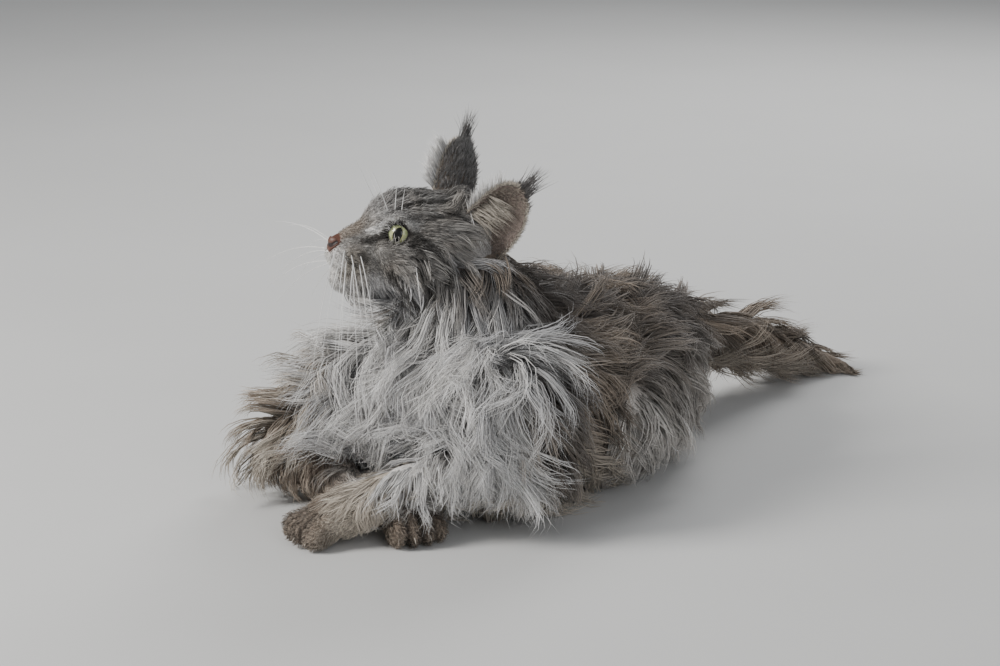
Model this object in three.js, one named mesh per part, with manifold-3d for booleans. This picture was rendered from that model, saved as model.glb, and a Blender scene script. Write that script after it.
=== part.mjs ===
// A life-size long-haired cat with a ruff, tufted ears and a plumed tail. It lies on its chest with
// crossed forepaws, and looks over its right shoulder. Millimetres, +Z up, the cat facing -Y.
// The origin is on the floor, under the belly. The cat's own left is +X.
import * as THREE from 'three';
import { LoftGeometry } from 'three/addons/geometries/LoftGeometry.js';
import { mergeVertices } from 'three/addons/utils/BufferGeometryUtils.js';
import Module from 'manifold-3d';

const wasm = await Module();
wasm.setup();
const { Vector3, MathUtils } = THREE;
const V = (x, y, z) => new Vector3(x, y, z);
const UP = V(0, 0, 1);

// Driving sizes
const GAP = 0.3; // between neighbouring solids
const CORE = 0.5; // share of the coat's depth that the solid core fills below the locks
const LONG = 5; // a deeper coat than this carries locks
const FLOOR_CLEAR = 2.5;
const SEED = 1;

// Locks: the rows that they root in along the limb (or on the dome of an end, 1 at the rim and 0 at
// the middle), the angles of each row and the number there, their length and width, whether they lie
// towards the limb's end (1) or its start (-1), and how much they fall. On the torso 0 degrees is
// the cat's left and 90 the top, on the neck 90 is the back.
const COATS = {
  torso: [
    { rows: [0.08, 0.28, 0.48, 0.68, 0.88], angles: [-40, 220, 6], length: 104, width: 48, lie: -1, fall: 0.4 },
  ],
  neck: [
    { rows: [0.12, 0.52], angles: [-30, 210, 6], length: 88, width: 42, lie: -1, fall: 0.5 },
    { rows: [0.9], angles: [-180, 180, 6], length: 66, width: 42, lie: -1, fall: 0.3 },
  ],
  upper_arm: [
    { dome: [0.5], end: 0, angles: [-180, 180, 5], length: 80, width: 40, lie: 1, fall: 0.4 },
    { rows: [0.16, 0.52], angles: [-180, 180, 6], length: 76, width: 40, lie: 1, fall: 0.4 },
    { rows: [0.86], angles: [-180, 180, 4], length: 50, width: 36, lie: 1, fall: 0.3 },
  ],
  forearm: [{ rows: [0.1, 0.45], angles: [-180, 180, 4], length: 44, width: 24, lie: 1, fall: 0.3 }],
  thigh: [
    { rows: [0.2, 0.64], angles: [-180, 180, 6], length: 96, width: 46, lie: -1, fall: 0.6 },
    { dome: [0.6], end: 1, angles: [-180, 180, 4], length: 68, width: 42, lie: -1, fall: 0.6 },
  ],
  tail_base: [{ rows: [0.1, 0.6], angles: [-180, 180, 5], length: 72, width: 34, lie: 1, fall: 0.15 }],
  tail_middle: [{ rows: [0.1, 0.6], angles: [-150, 210, 4], length: 66, width: 30, lie: 1, fall: 0.05 }],
  tail_tip: [{ rows: [0.15, 0.6], angles: [-180, 180, 3], length: 42, width: 20, lie: 1, fall: 0 }],
};
const LOCK = { thick: 8, sink: 8, jitter: 0.18, steps: 3, heights: [0, 0.8, 1.05, 1.2] };
// The bib: rows at these heights with this many locks from side to side, hanging down the front.
const BIB = {
  rows: [[196, -42, 22, 3], [164, -56, 36, 4], [130, -62, 46, 4], [94, -66, 40, 4]],
  front: -240,
  length: 94,
  width: 40,
  stand: 12,
};
// Locks of the cheeks and ears in the head's frame: [root, way that they lie, length, width].
const CHEEK_LOCKS = [
  [[-8, 40, -2], [-1, 0.2, -0.7], 40, 20],
  [[0, 39, -20], [-0.8, 0.2, -1], 42, 20],
  [[8, 34, -38], [-0.5, 0.2, -1], 40, 20],
  [[22, 20, -46], [-0.3, 0.1, -1], 48, 22],
  [[42, 7, -44], [-0.6, 0, -1], 50, 22],
];
const EAR_LOCKS = {
  tuft: [[0.97, -0.2, 34, 9], [0.9, 0.5, 24, 8]], // [up the ear, across, length, width]
  lining: [[0.12, -0.75, 42, 14], [0.38, -0.65, 34, 12]],
};

// The head's place and turn, and the eyes in the head's frame.
const HEAD = { at: [-35, -61, 245], yaw: 38, pitch: 7, roll: 0 };
const EYE = { at: [32, 19, 5], radius: 11, outward: 45, upward: 4 };

// Limbs: each station is [x, y, z, side, top, low, coat], the flesh's half width, its height above
// and below the centre, and the depth of the coat over it.
const LIMBS = {
  torso: {
    domes: [40, 44],
    stations: [
      [0, 268, 78, 44, 44, 42, 22],
      [0, 225, 76, 66, 62, 62, 26],
      [0, 165, 78, 72, 72, 74, 26],
      [0, 100, 82, 76, 82, 78, 26],
      [0, 40, 86, 80, 90, 84, 28],
      [0, -15, 90, 80, 88, 88, 30],
      [0, -62, 98, 66, 62, 80, 32],
    ],
    columns: 14,
    rows: 7,
  },
  neck: {
    hint: V(0, 1, 0),
    domes: [24, 10],
    stations: [
      [0, -6, 118, 66, 56, 62, 26],
      [-3, -26, 158, 56, 52, 58, 30],
      [-12, -40, 194, 48, 46, 52, 26],
      [-14, -41, 222, 38, 38, 38, 16],
    ],
    columns: 12,
    rows: 4,
  },
  upper_arm_right: {
    domes: [24, 24],
    stations: [
      [-50, -60, 116, 38, 38, 36, 42],
      [-112, -82, 80, 33, 34, 30, 44],
      [-158, -96, 50, 25, 25, 24, 32],
    ],
    columns: 10,
    rows: 4,
  },
  upper_arm_left: {
    hint: V(0, -1, 0),
    domes: [24, 22],
    stations: [
      [52, -74, 118, 38, 38, 38, 26],
      [62, -60, 80, 33, 33, 34, 24],
      [68, -46, 52, 26, 26, 26, 16],
    ],
    columns: 10,
    rows: 3,
  },
  forearm_right: {
    domes: [18, 12],
    stations: [
      [-158, -98, 38, 22, 22, 22, 14],
      [-104, -114, 30, 19, 19, 19, 9],
      [-50, -127, 25, 16, 16, 16, 6],
    ],
    columns: 8,
    rows: 3,
  },
  forearm_left: {
    domes: [18, 12],
    stations: [
      [68, -52, 44, 22, 22, 22, 14],
      [32, -104, 56, 19, 19, 19, 8],
      [-8, -145, 48, 16, 16, 16, 6],
    ],
    columns: 8,
    rows: 4,
  },
  thigh_right: {
    domes: [34, 26],
    stations: [
      [-34, 212, 94, 40, 44, 36, 18],
      [-58, 146, 78, 44, 50, 50, 22],
      [-76, 76, 60, 34, 40, 38, 22],
    ],
    columns: 10,
    rows: 4,
  },
  thigh_left: {
    domes: [34, 26],
    stations: [
      [34, 212, 94, 40, 44, 36, 18],
      [58, 146, 78, 44, 50, 50, 22],
      [76, 76, 60, 34, 40, 38, 22],
    ],
    columns: 10,
    rows: 4,
  },
  hind_foot_right: {
    domes: [16, 12],
    stations: [
      [-60, 176, 23, 15, 18, 19, 5],
      [-50, 100, 18, 14, 15, 14, 4],
      [-36, 42, 15, 17, 13, 11, 4],
    ],
    columns: 8,
    rows: 3,
  },
  hind_foot_left: {
    domes: [16, 12],
    stations: [
      [60, 176, 23, 15, 18, 19, 5],
      [50, 100, 18, 14, 15, 14, 4],
      [36, 42, 15, 17, 13, 11, 4],
    ],
    columns: 8,
    rows: 3,
  },
  forepaw_right: {
    domes: [10, 13],
    stations: [
      [-40, -130, 24, 16, 16, 16, 4],
      [-16, -139, 22, 20, 17, 18, 4],
      [4, -147, 17, 21, 15, 15, 4],
    ],
    columns: 8,
    rows: 4,
  },
  forepaw_left: {
    domes: [10, 15],
    stations: [
      [-14, -150, 44, 16, 16, 16, 4],
      [-40, -172, 27, 21, 18, 20, 4],
      [-64, -192, 17, 24, 15, 15, 4],
    ],
    columns: 8,
    rows: 4,
  },
  tail_base: {
    domes: [10, 8],
    stations: [
      [0, 286, 90, 15, 15, 16, 22],
      [20, 340, 82, 14, 14, 14, 30],
      [33, 388, 70, 12, 12, 12, 32],
    ],
    columns: 8,
    rows: 3,
  },
  tail_middle: {
    domes: [8, 8],
    stations: [
      [34, 396, 67, 12, 12, 12, 32],
      [39, 430, 56, 11, 11, 11, 28],
      [47, 470, 42, 9, 9, 9, 20],
    ],
    columns: 8,
    rows: 3,
  },
  tail_tip: {
    domes: [8, 6],
    stations: [
      [48, 478, 39, 9, 9, 9, 20],
      [58, 506, 25, 8, 8, 8, 14],
      [80, 524, 13, 6, 6, 6, 8],
      [96, 529, 8, 4, 4, 4, 4],
    ],
    columns: 8,
    rows: 4,
  },
};

// A closed geometry as a manifold solid, with its seam joined and its collapsed faces dropped.
function solidOf(geometry) {
  const plain = new THREE.BufferGeometry().copy(geometry);
  for (const name of ['normal', 'uv']) plain.deleteAttribute(name);
  const joined = mergeVertices(plain, 1e-3);
  const kept = [];
  const index = joined.index.array;
  for (let i = 0; i < index.length; i += 3) {
    const [a, b, c] = index.slice(i, i + 3);
    if (a !== b && b !== c && c !== a) kept.push(a, b, c);
  }
  const mesh = new wasm.Mesh({
    numProp: 3,
    vertProperties: Float32Array.from(joined.attributes.position.array),
    triVerts: Uint32Array.from(kept),
  });
  return new wasm.Manifold(mesh);
}

function centreOf(ring) {
  return ring.reduce((sum, p) => sum.add(p), V(0, 0, 0)).divideScalar(ring.length);
}

// A loft through rings that may run either way round.
function loft(rings) {
  const middle = rings[Math.floor(rings.length / 2)];
  const turn = V(0, 0, 0);
  middle.forEach((p, i) => turn.add(new Vector3().crossVectors(p, middle[(i + 1) % middle.length])));
  const along = centreOf(rings.at(-1)).sub(centreOf(rings[0]));
  const sections = turn.dot(along) > 0 ? rings : rings.map((ring) => [...ring].reverse());
  return solidOf(new LoftGeometry(sections, { capStart: true, capEnd: true }));
}

// A limb of the body: a smooth loft through its stations, with a rounded dome at each end.
class Limb {
  constructor(name, { stations, domes, columns, rows, hint = UP }) {
    const curve = (pick) => new THREE.CatmullRomCurve3(stations.map(pick), false, 'catmullrom', 0.5);
    Object.assign(this, { name, domes, columns, rows, hint });
    this.path = curve((s) => V(s[0], s[1], s[2]));
    this.girth = curve((s) => V(s[3], s[4], s[5]));
    this.coats = curve((s) => V(s[6], 0, 0));
    this.samples = Array.from({ length: 17 }, (_, i) => this.at(i / 16));
  }

  at(t) {
    const centre = this.path.getPoint(t);
    const along = this.path.getTangent(t);
    const side = new Vector3().crossVectors(this.hint, along).normalize();
    const top = new Vector3().crossVectors(along, side).normalize();
    const girth = this.girth.getPoint(t);
    return { t, centre, along, side, top, girth, coat: this.coats.getPoint(t).x };
  }

  // The point at an angle round the section at t, extra outside the flesh; shift runs past an end.
  point(t, angle, depth, extra = 0, shift = 0, scale = 1) {
    const s = this.at(t);
    const out = depth * s.coat + extra;
    const [c, n] = [Math.cos(angle), Math.sin(angle)];
    const wide = (s.girth.x + out) * scale * c;
    const high = ((n > 0 ? s.girth.y : s.girth.z) + out) * scale * n;
    return s.centre.clone()
      .addScaledVector(s.side, wide)
      .addScaledVector(s.top, high)
      .addScaledVector(s.along, shift);
  }

  ring(t, depth, extra, shift = 0, scale = 1) {
    const turn = (i) => (i / this.columns) * 2 * Math.PI;
    return Array.from({ length: this.columns }, (_, i) =>
      this.point(t, turn(i), depth, extra, shift, scale));
  }

  // How far a dome's ring lies past the limb's end, and its scale: share 1 at the rim, 0 in the middle.
  domePlace(end, share, depth, extra = 0) {
    const a = (share * Math.PI) / 2;
    const reach = this.domes[end] + depth * this.at(end).coat + extra;
    return [(2 * end - 1) * reach * Math.cos(a), Math.sin(a)];
  }

  solid(depth = CORE, extra = 0) {
    const steps = [0.3, 0.62, 0.86];
    const dome = (end) => steps.map((k) => this.ring(end, depth, extra, ...this.domePlace(end, k, depth, extra)));
    const body = Array.from({ length: this.rows }, (_, i) =>
      this.ring(i / (this.rows - 1), depth, extra));
    return loft([...dome(0), ...body, ...dome(1).reverse()]);
  }

  // About how far a point lies outside this limb's surface at that depth of coat.
  distance(p, depth = CORE) {
    let best = null;
    let least = Infinity;
    for (const s of this.samples) {
      const d = s.centre.distanceToSquared(p);
      if (d < least) [best, least] = [s, d];
    }
    const off = p.clone().sub(best.centre);
    const out = depth * best.coat;
    const end = best.t === 0 ? 0 : 1;
    const past = best.t === 0 || best.t === 1 ? Math.max(0, off.dot(best.along) * (2 * end - 1)) : 0;
    const high = off.dot(best.top);
    const rise = high > 0 ? best.girth.y : best.girth.z;
    const share = Math.hypot(
      off.dot(best.side) / (best.girth.x + out),
      high / (rise + out),
      past / (this.domes[end] + out),
    );
    const across = Math.hypot(off.dot(best.side), high, past);
    return share < 1e-6 ? -rise : across * (1 - 1 / share);
  }
}

// The head is one blended form: [forward, left, up, half sizes along those, coat]. A form off the
// middle is mirrored. The head's own frame points forward, left and up.
const HEAD_FORMS = {
  cranium: [-6, 0, 2, 42, 34, 32, 8],
  forehead: [20, 0, 6, 38, 26, 30, 4],
  bridge: [50, 0, 0, 25, 8, 10, 2],
  nose: [78, 0, -8, 10, 7, 6.5, 0.5],
  upper_jaw: [54, 0, -17, 26, 17, 14, 4],
  pad: [73.5, 8.5, -20, 12.5, 9.5, 10, 2.5],
  chin: [70, 0, -40, 11.5, 9, 9, 4],
  lower_jaw: [40, 0, -34, 32, 18, 13, 7],
  cheek: [10, 25, -22, 26, 14, 26, 10],
  brow: [32, 19, 17, 10, 11, 6, 2.5],
  cheekbone: [38, 27, -9, 14, 7, 8, 3],
  nape: [-28, 0, -16, 26, 30, 32, 12],
};
// The hollow before the eye, about the same centre: how far out it starts, and its half sizes.
const ORBIT = { out: 13, deep: 11, wide: 12.5, high: 11 };
const LID = { thick: 1.5, wide: 9.4, high: 8.6, tilt: 10 };
// The line of the mouth from its middle to a corner, and the nostril, before they settle on the face.
const MOUTH = [[88, 0, -28], [85, 5, -31], [79, 11, -33.5], [70, 16, -33.5], [60, 19, -31], [52, 21, -27]];
const PHILTRUM = [[90, 0, -14], [90, 0, -20], [88, 0, -28]];
const LIP = { bead: 2, groove: 1.1, proud: 1.5 };
const NOSTRIL = { at: [90, 3.6, -9.5], sizes: [3.4, 1.5, 1.9], turn: 35 };
const BLEND = 9; // how softly the head's forms run together

// Ears in the head's frame: the front and back ends of the base, the tip, and the cup's depth.
const EARS = {
  ear_left: { front: [-21, 29, 27], back: [-50, 33, -16], tip: [-61, 61, 55], hollow: 13 },
  ear_right: { front: [-9, -26, 34], back: [-48, -36, 14], tip: [-43, -50, 80], hollow: 11 },
};
const EAR_THICK = 2.6;
const TOES = { across: [-0.9, -0.32, 0.32, 0.9], long: 13, wide: 0.34, high: 9.5 };
const headTurn = new THREE.Matrix4().makeBasis(V(0, -1, 0), V(1, 0, 0), V(0, 0, 1));
const headMatrix = new THREE.Matrix4()
  .makeTranslation(...HEAD.at)
  .multiply(new THREE.Matrix4().makeRotationZ(MathUtils.degToRad(-HEAD.yaw)))
  .multiply(new THREE.Matrix4().makeRotationX(MathUtils.degToRad(-HEAD.pitch)))
  .multiply(new THREE.Matrix4().makeRotationY(MathUtils.degToRad(HEAD.roll)))
  .multiply(headTurn);
const onHead = (forward, left, up) => V(forward, left, up).applyMatrix4(headMatrix);
const headWay = (forward, left, up) => V(forward, left, up).transformDirection(headMatrix);

// About how far a point lies outside an ellipsoid, with its half sizes grown.
function formDistance(p, [f, l, u, a, b, c], side, grown) {
  const sizes = V(a, b, c).addScalar(grown);
  const q = p.clone().sub(V(f, l * side, u)).divide(sizes);
  const k = q.length();
  return (k * (k - 1)) / (q.divide(sizes).length() || 1);
}
function blended(a, b) {
  const near = Math.max(0, BLEND - Math.abs(a - b)) / BLEND;
  return Math.min(a, b) - (near * near * BLEND) / 4;
}

// About how far a point in the head's frame lies outside the head at that depth of coat.
function headDistance(p, depth) {
  let whole = Infinity;
  for (const form of Object.values(HEAD_FORMS)) {
    const grown = form[6] * (form[6] > LONG ? depth : 1);
    for (const side of form[1] ? [-1, 1] : [1]) {
      whole = blended(whole, formDistance(p, form, side, grown));
    }
  }
  return whole;
}

// The nearest place on the head's surface.
function settle(p, depth = CORE) {
  const step = 0.5;
  const q = p.clone();
  for (let i = 0; i < 8; i++) {
    const here = headDistance(q, depth);
    const slope = V(
      headDistance(q.clone().add(V(step, 0, 0)), depth) - here,
      headDistance(q.clone().add(V(0, step, 0)), depth) - here,
      headDistance(q.clone().add(V(0, 0, step)), depth) - here,
    ).normalize();
    q.addScaledVector(slope, -here);
  }
  return q;
}

function headBlank(extra = 0, depth = CORE, columns = 26, rows = 23) {
  const heart = V(32, 0, -10); // the rays to the surface start here, so the face gets the most of them
  const rings = [];
  for (let i = 1; i < rows; i++) {
    const lean = Math.PI * (1 - i / rows);
    rings.push(Array.from({ length: columns }, (_, j) => {
      const turn = (j / columns) * 2 * Math.PI;
      const way = V(Math.cos(lean), Math.sin(lean) * Math.cos(turn), Math.sin(lean) * Math.sin(turn));
      let [near, far] = [0, 140];
      for (let step = 0; step < 20; step++) {
        const middle = (near + far) / 2;
        if (headDistance(way.clone().multiplyScalar(middle).add(heart), depth) < extra) near = middle;
        else far = middle;
      }
      return way.multiplyScalar(near).add(heart).applyMatrix4(headMatrix);
    }));
  }
  return loft(rings);
}

// An ellipsoid with its half sizes along a given forward way.
function ellipsoid(centre, sizes, forward, detail = [12, 8], up = UP) {
  const side = new Vector3().crossVectors(up, forward).normalize();
  const top = new Vector3().crossVectors(forward, side).normalize();
  const basis = new THREE.Matrix4().makeBasis(forward.clone().normalize(), side, top).setPosition(centre);
  const ball = new THREE.SphereGeometry(1, ...detail).scale(...sizes).applyMatrix4(basis);
  return solidOf(ball);
}

// An ear's own directions in the head's frame, and the place up and across it, off its middle sheet.
function earFrame({ front, back, tip, hollow }, extra = 0) {
  const [f, b, t] = [front, back, tip].map((p) => V(...p));
  const foot = f.clone().add(b).divideScalar(2);
  const rise = t.clone().sub(foot);
  const axis = rise.clone().normalize();
  const chord = b.clone().sub(f);
  const half = chord.length() / 2;
  chord.normalize();
  const facing = new Vector3().crossVectors(chord, axis).normalize().multiplyScalar(Math.sign(f.y));
  const place = (up, across, off) => {
    const high = Math.max(0, up);
    const wide = half * Math.max(0.07, Math.max(0, 1 - high ** 2.8) ** 0.75) + extra;
    const deep = hollow * (1 - 0.75 * high) * Math.min(1, wide / half + 0.1);
    return foot.clone()
      .addScaledVector(rise, up)
      .addScaledVector(chord, wide * across)
      .addScaledVector(facing, -deep * (1 - across * across) + off * (1 - 0.55 * across * across));
  };
  return { place, chord, axis, facing, height: rise.length() };
}

// An ear: a cupped leaf from its root in the head to its tip.
function ear(shape, extra = 0) {
  const { place, height } = earFrame(shape, extra);
  const sunk = 0.16;
  const rows = 8;
  const steps = 6;
  const rings = Array.from({ length: rows + 1 }, (_, i) => {
    const up = -sunk + (1 + sunk) * (i / rows) + (i === rows ? extra / height : 0);
    const across = (k) => -1 + (2 * k) / steps;
    const inner = Array.from({ length: steps + 1 }, (_, k) => place(up, across(k), EAR_THICK / 2 + extra));
    const outer = Array.from({ length: steps + 1 }, (_, k) => place(up, across(steps - k), -EAR_THICK / 2 - extra));
    return [...inner, ...outer].map((p) => p.applyMatrix4(headMatrix));
  });
  return loft(rings);
}

const cores = Object.fromEntries(Object.entries(LIMBS).map(([name, size]) => [name, new Limb(name, size)]));

function join(solids) {
  return wasm.Manifold.union(solids);
}

function largest(solid) {
  return solid.decompose().reduce((a, b) => (a.volume() >= b.volume() ? a : b));
}

// Eyes
function eyeCentre(side) {
  return onHead(EYE.at[0], EYE.at[1] * side, EYE.at[2]);
}
function gaze(side) {
  const a = MathUtils.degToRad(EYE.outward);
  const b = MathUtils.degToRad(EYE.upward);
  const way = headWay(Math.cos(a) * Math.cos(b), side * Math.sin(a) * Math.cos(b), Math.sin(b));
  const across = new Vector3().crossVectors(headWay(0, 0, 1), way).normalize();
  const top = new Vector3().crossVectors(way, across);
  return { way, across, top };
}
function eyeball(side, extra = 0) {
  const r = EYE.radius + extra;
  return ellipsoid(eyeCentre(side), [r, r, r], gaze(side).way, [12, 8]);
}

// A thin cord along places on the head that have settled on the face, proud of it or not.
function cord(places, radius, proud) {
  const path = places.map((place) => {
    const on = settle(V(...place));
    const off = on.clone().sub(V(30, 0, -14)).normalize();
    return on.addScaledVector(off, proud).applyMatrix4(headMatrix);
  });
  const circle = new THREE.Shape().absarc(0, 0, radius, 0, 2 * Math.PI);
  const extrudePath = new THREE.CatmullRomCurve3(path);
  const steps = path.length;
  return solidOf(new THREE.ExtrudeGeometry(circle, { extrudePath, steps, curveSegments: 3, bevelEnabled: false }));
}

const bothSides = (places) => places.map(([f, l, u]) => [f, -l, u]).reverse().concat(places.slice(1));

// The opening between the lids: a prism from inside the eye to well before it.
function lidOpening(side) {
  const { way, across, top } = gaze(side);
  const tilt = MathUtils.degToRad(LID.tilt) * side;
  const count = 20;
  const ring = (reach) => Array.from({ length: count }, (_, i) => {
    const a = (i / count) * 2 * Math.PI;
    const x = LID.wide * Math.cos(a);
    const y = LID.high * Math.sin(a) * Math.abs(Math.sin(a)) ** 0.15;
    return eyeCentre(side)
      .addScaledVector(way, reach)
      .addScaledVector(across, x * Math.cos(tilt) - y * Math.sin(tilt))
      .addScaledVector(top, x * Math.sin(tilt) + y * Math.cos(tilt));
  });
  return loft([ring(2), ring(30)]);
}

function head(extra = 0) {
  const lids = [1, -1].map((side) => eyeball(side, LID.thick + extra));
  const lips = cord(bothSides(MOUTH), LIP.bead + extra, 0);
  const orbits = [1, -1].map((side) => {
    const centre = eyeCentre(side).addScaledVector(gaze(side).way, ORBIT.out);
    const sizes = [ORBIT.deep, ORBIT.wide, ORBIT.high].map((size) => size - extra);
    return ellipsoid(centre, sizes, gaze(side).way, [10, 7]);
  });
  const added = join([headBlank(extra).subtract(join(orbits)), ...lids, lips]);
  if (extra) return added;
  const nostrils = [1, -1].map((side) => {
    const [f, l, u] = NOSTRIL.at;
    const turn = MathUtils.degToRad(NOSTRIL.turn) * side;
    const way = headWay(Math.cos(turn), Math.sin(turn), 0);
    return ellipsoid(settle(V(f, l * side, u)).applyMatrix4(headMatrix), NOSTRIL.sizes, way, [8, 6]);
  });
  const cuts = [
    ...nostrils,
    ...[1, -1].map(lidOpening),
    cord(bothSides(MOUTH), LIP.groove, LIP.proud),
    cord(PHILTRUM, LIP.groove, 0.4),
  ];
  return added.subtract(join(cuts));
}

function meshOf(name, solid, colour, roughness) {
  const { numProp, vertProperties, triVerts } = solid.getMesh();
  const geometry = new THREE.BufferGeometry();
  const places = new Float32Array((vertProperties.length / numProp) * 3);
  for (let i = 0; i < places.length / 3; i++) places.set(vertProperties.subarray(i * numProp, i * numProp + 3), i * 3);
  geometry.setAttribute('position', new THREE.BufferAttribute(places, 3));
  geometry.setIndex(new THREE.BufferAttribute(Uint32Array.from(triVerts), 1));
  geometry.computeVertexNormals();
  const mesh = new THREE.Mesh(geometry, new THREE.MeshStandardMaterial({ color: colour, roughness, metalness: 0 }));
  mesh.name = name;
  return mesh;
}

// Four toes across the end of a paw.
function toes(name, extra) {
  const limb = cores[name];
  const { centre, along, side, girth } = limb.at(1);
  const reach = limb.domes[1] * 0.55;
  return TOES.across.map((share, i) => {
    const at = centre.clone()
      .addScaledVector(along, reach * (1 - 0.35 * Math.abs(share)))
      .addScaledVector(side, share * girth.x * 0.82);
    at.z = TOES.high;
    const sizes = [TOES.long, girth.x * TOES.wide, TOES.high + 1].map((size) => size + extra);
    const way = along.clone().addScaledVector(side, 0.35 * share).setZ(0).normalize();
    return ellipsoid(at, sizes, way, [6, 5]);
  });
}
function coreSolid(name, extra = 0) {
  const solid = cores[name].solid(CORE, extra);
  return /paw|foot/.test(name) ? join([solid, ...toes(name, extra)]) : solid;
}
const headInverse = headMatrix.clone().invert();

// About how far a point lies outside every core together.
function bodyDistance(p) {
  let least = headDistance(p.clone().applyMatrix4(headInverse), CORE);
  for (const limb of Object.values(cores)) least = Math.min(least, limb.distance(p));
  return least;
}
function bodySlope(p) {
  const step = 1.5;
  const here = bodyDistance(p);
  const [x, y, z] = [V(step, 0, 0), V(0, step, 0), V(0, 0, step)].map((d) => bodyDistance(p.clone().add(d)) - here);
  return V(x, y, z).normalize();
}

// Seeded random numbers from 0 to 1.
function seeded(seed) {
  let state = seed;
  return () => {
    state = (Math.imul(state, 1664525) + 1013904223) >>> 0;
    return state / 2 ** 32;
  };
}

// The places that a lock runs through: rooted in the core, laid over the body, its tip standing off.
function lockPath(root, lie, length, stand, fall, curl) {
  const step = length / LOCK.steps;
  const way = lie.clone();
  const at = root.clone();
  const path = [];
  for (const [i, share] of LOCK.heights.entries()) {
    const height = share ? share * stand : -LOCK.sink;
    if (i) {
      way.add(V(0, 0, -fall / LOCK.steps)).normalize();
      const out = bodySlope(at);
      way.addScaledVector(out, -way.dot(out));
      way.addScaledVector(new Vector3().crossVectors(out, way), curl / LOCK.steps).normalize();
      at.addScaledVector(way, step);
    }
    const out = bodySlope(at);
    for (let pass = 0; pass < 3; pass++) at.addScaledVector(out, height - bodyDistance(at));
    at.z = Math.max(at.z, FLOOR_CLEAR);
    path.push({ at: at.clone(), out });
  }
  return path;
}

// A flat tapered lock with a low ridge along it. Its sections all share one side, so it never folds
// over itself.
function lockSolid({ path, width, thick }, extra = 0) {
  const taper = [0.7, 1, 0.7, 0.05];
  const last = path.length - 1;
  const reach = path[last].at.clone().sub(path[0].at);
  const out = path.reduce((sum, p) => sum.add(p.out), V(0, 0, 0));
  const side = new Vector3().crossVectors(reach, out).normalize();
  const rings = path.map(({ at }, i) => {
    const way = path[Math.min(last, i + 1)].at.clone().sub(path[Math.max(0, i - 1)].at).normalize();
    const flat = new Vector3().crossVectors(side, way).normalize();
    const past = { 0: -2, [last]: 2 }[i] ?? 0;
    const centre = at.clone().addScaledVector(way, past * extra);
    const w = (width / 2) * taper[i] + 4 * extra;
    const t = thick * Math.max(0.2, taper[i]);
    return [[w, -extra], [0, t + extra], [-w, -extra]].map(([x, y]) =>
      centre.clone().addScaledVector(side, x).addScaledVector(flat, y));
  });
  return loft(rings);
}

// Whether a lock's path bends softly enough for its shape to hold.
function soft(path) {
  return path.slice(2).every(({ at }, i) => {
    const before = path[i + 1].at.clone().sub(path[i].at).normalize();
    return at.clone().sub(path[i + 1].at).normalize().dot(before) > 0.35;
  });
}

// The locks of one limb, from the rows of its coat.
function limbLocks(name) {
  const limb = cores[name];
  const kind = name.replace(/_(left|right)$/, '');
  const random = seeded(SEED + name.length * 977 + name.charCodeAt(0));
  const vary = () => 1 + LOCK.jitter * (2 * random() - 1);
  const locks = [];
  for (const band of COATS[kind] ?? []) {
    for (const [i, row] of (band.rows ?? band.dome).entries()) {
      const [from, to, count] = band.angles;
      for (let k = 0; k < count; k++) {
        const share = (k + (i % 2 ? 0.75 : 0.25) + 0.3 * (random() - 0.5)) / count;
        const angle = MathUtils.degToRad(from + (to - from) * share);
        const t = band.dome ? band.end : MathUtils.clamp(row + 0.05 * (random() - 0.5), 0, 1);
        const past = band.dome ? limb.domePlace(band.end, row, CORE) : [0, 1];
        const root = limb.point(t, angle, CORE, 0, ...past);
        const [length, width, curl] = [band.length * vary(), band.width * vary(), 0.8 * (random() - 0.5)];
        if (bodyDistance(root) < -6 || root.z < 22) continue;
        const { along, coat } = limb.at(t);
        const out = bodySlope(root);
        const lie = along.clone().multiplyScalar(band.lie).add(V(0, 0, -band.fall * 0.5));
        lie.addScaledVector(out, -lie.dot(out)).normalize();
        const path = lockPath(root, lie, length, coat * (1 - CORE) - LOCK.thick / 2, band.fall, curl);
        locks.push({ path, width, thick: LOCK.thick });
      }
    }
  }
  return locks;
}

// The locks of the bib that root in the neck or in the torso.
function bibLocks(name) {
  const random = seeded(SEED * 57);
  const locks = [];
  for (const [height, from, to, count] of BIB.rows) {
    for (let k = 0; k < count; k++) {
      const [across, size, curl] = [0.5 + 0.3 * (random() - 0.5), 1 + 0.2 * (random() - 0.5), random() - 0.5];
      const root = V(from + ((to - from) * (k + across)) / count, BIB.front, height);
      while (bodyDistance(root) > 0.5 && root.y < 0) root.y += Math.max(0.5, 0.7 * bodyDistance(root));
      const near = ['torso', 'neck'].find((other) => cores[other].distance(root) < 6);
      if (near !== name) continue;
      const path = lockPath(root, V(0, -0.3, -1).normalize(), BIB.length * size, BIB.stand, 1.2, 0.6 * curl);
      locks.push({ path, width: BIB.width * size, thick: LOCK.thick });
    }
  }
  return locks;
}

// The locks of both cheeks.
function cheekLocks() {
  const locks = [];
  for (const [place, lie, length, width] of CHEEK_LOCKS) {
    for (const side of [-1, 1]) {
      const root = settle(V(place[0], place[1] * side, place[2])).applyMatrix4(headMatrix);
      const way = headWay(lie[0], lie[1] * side, lie[2]);
      const path = lockPath(root, way, length, 6, 0.3, 0);
      locks.push({ path, width, thick: LOCK.thick * 0.7 });
    }
  }
  return locks;
}

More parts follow.
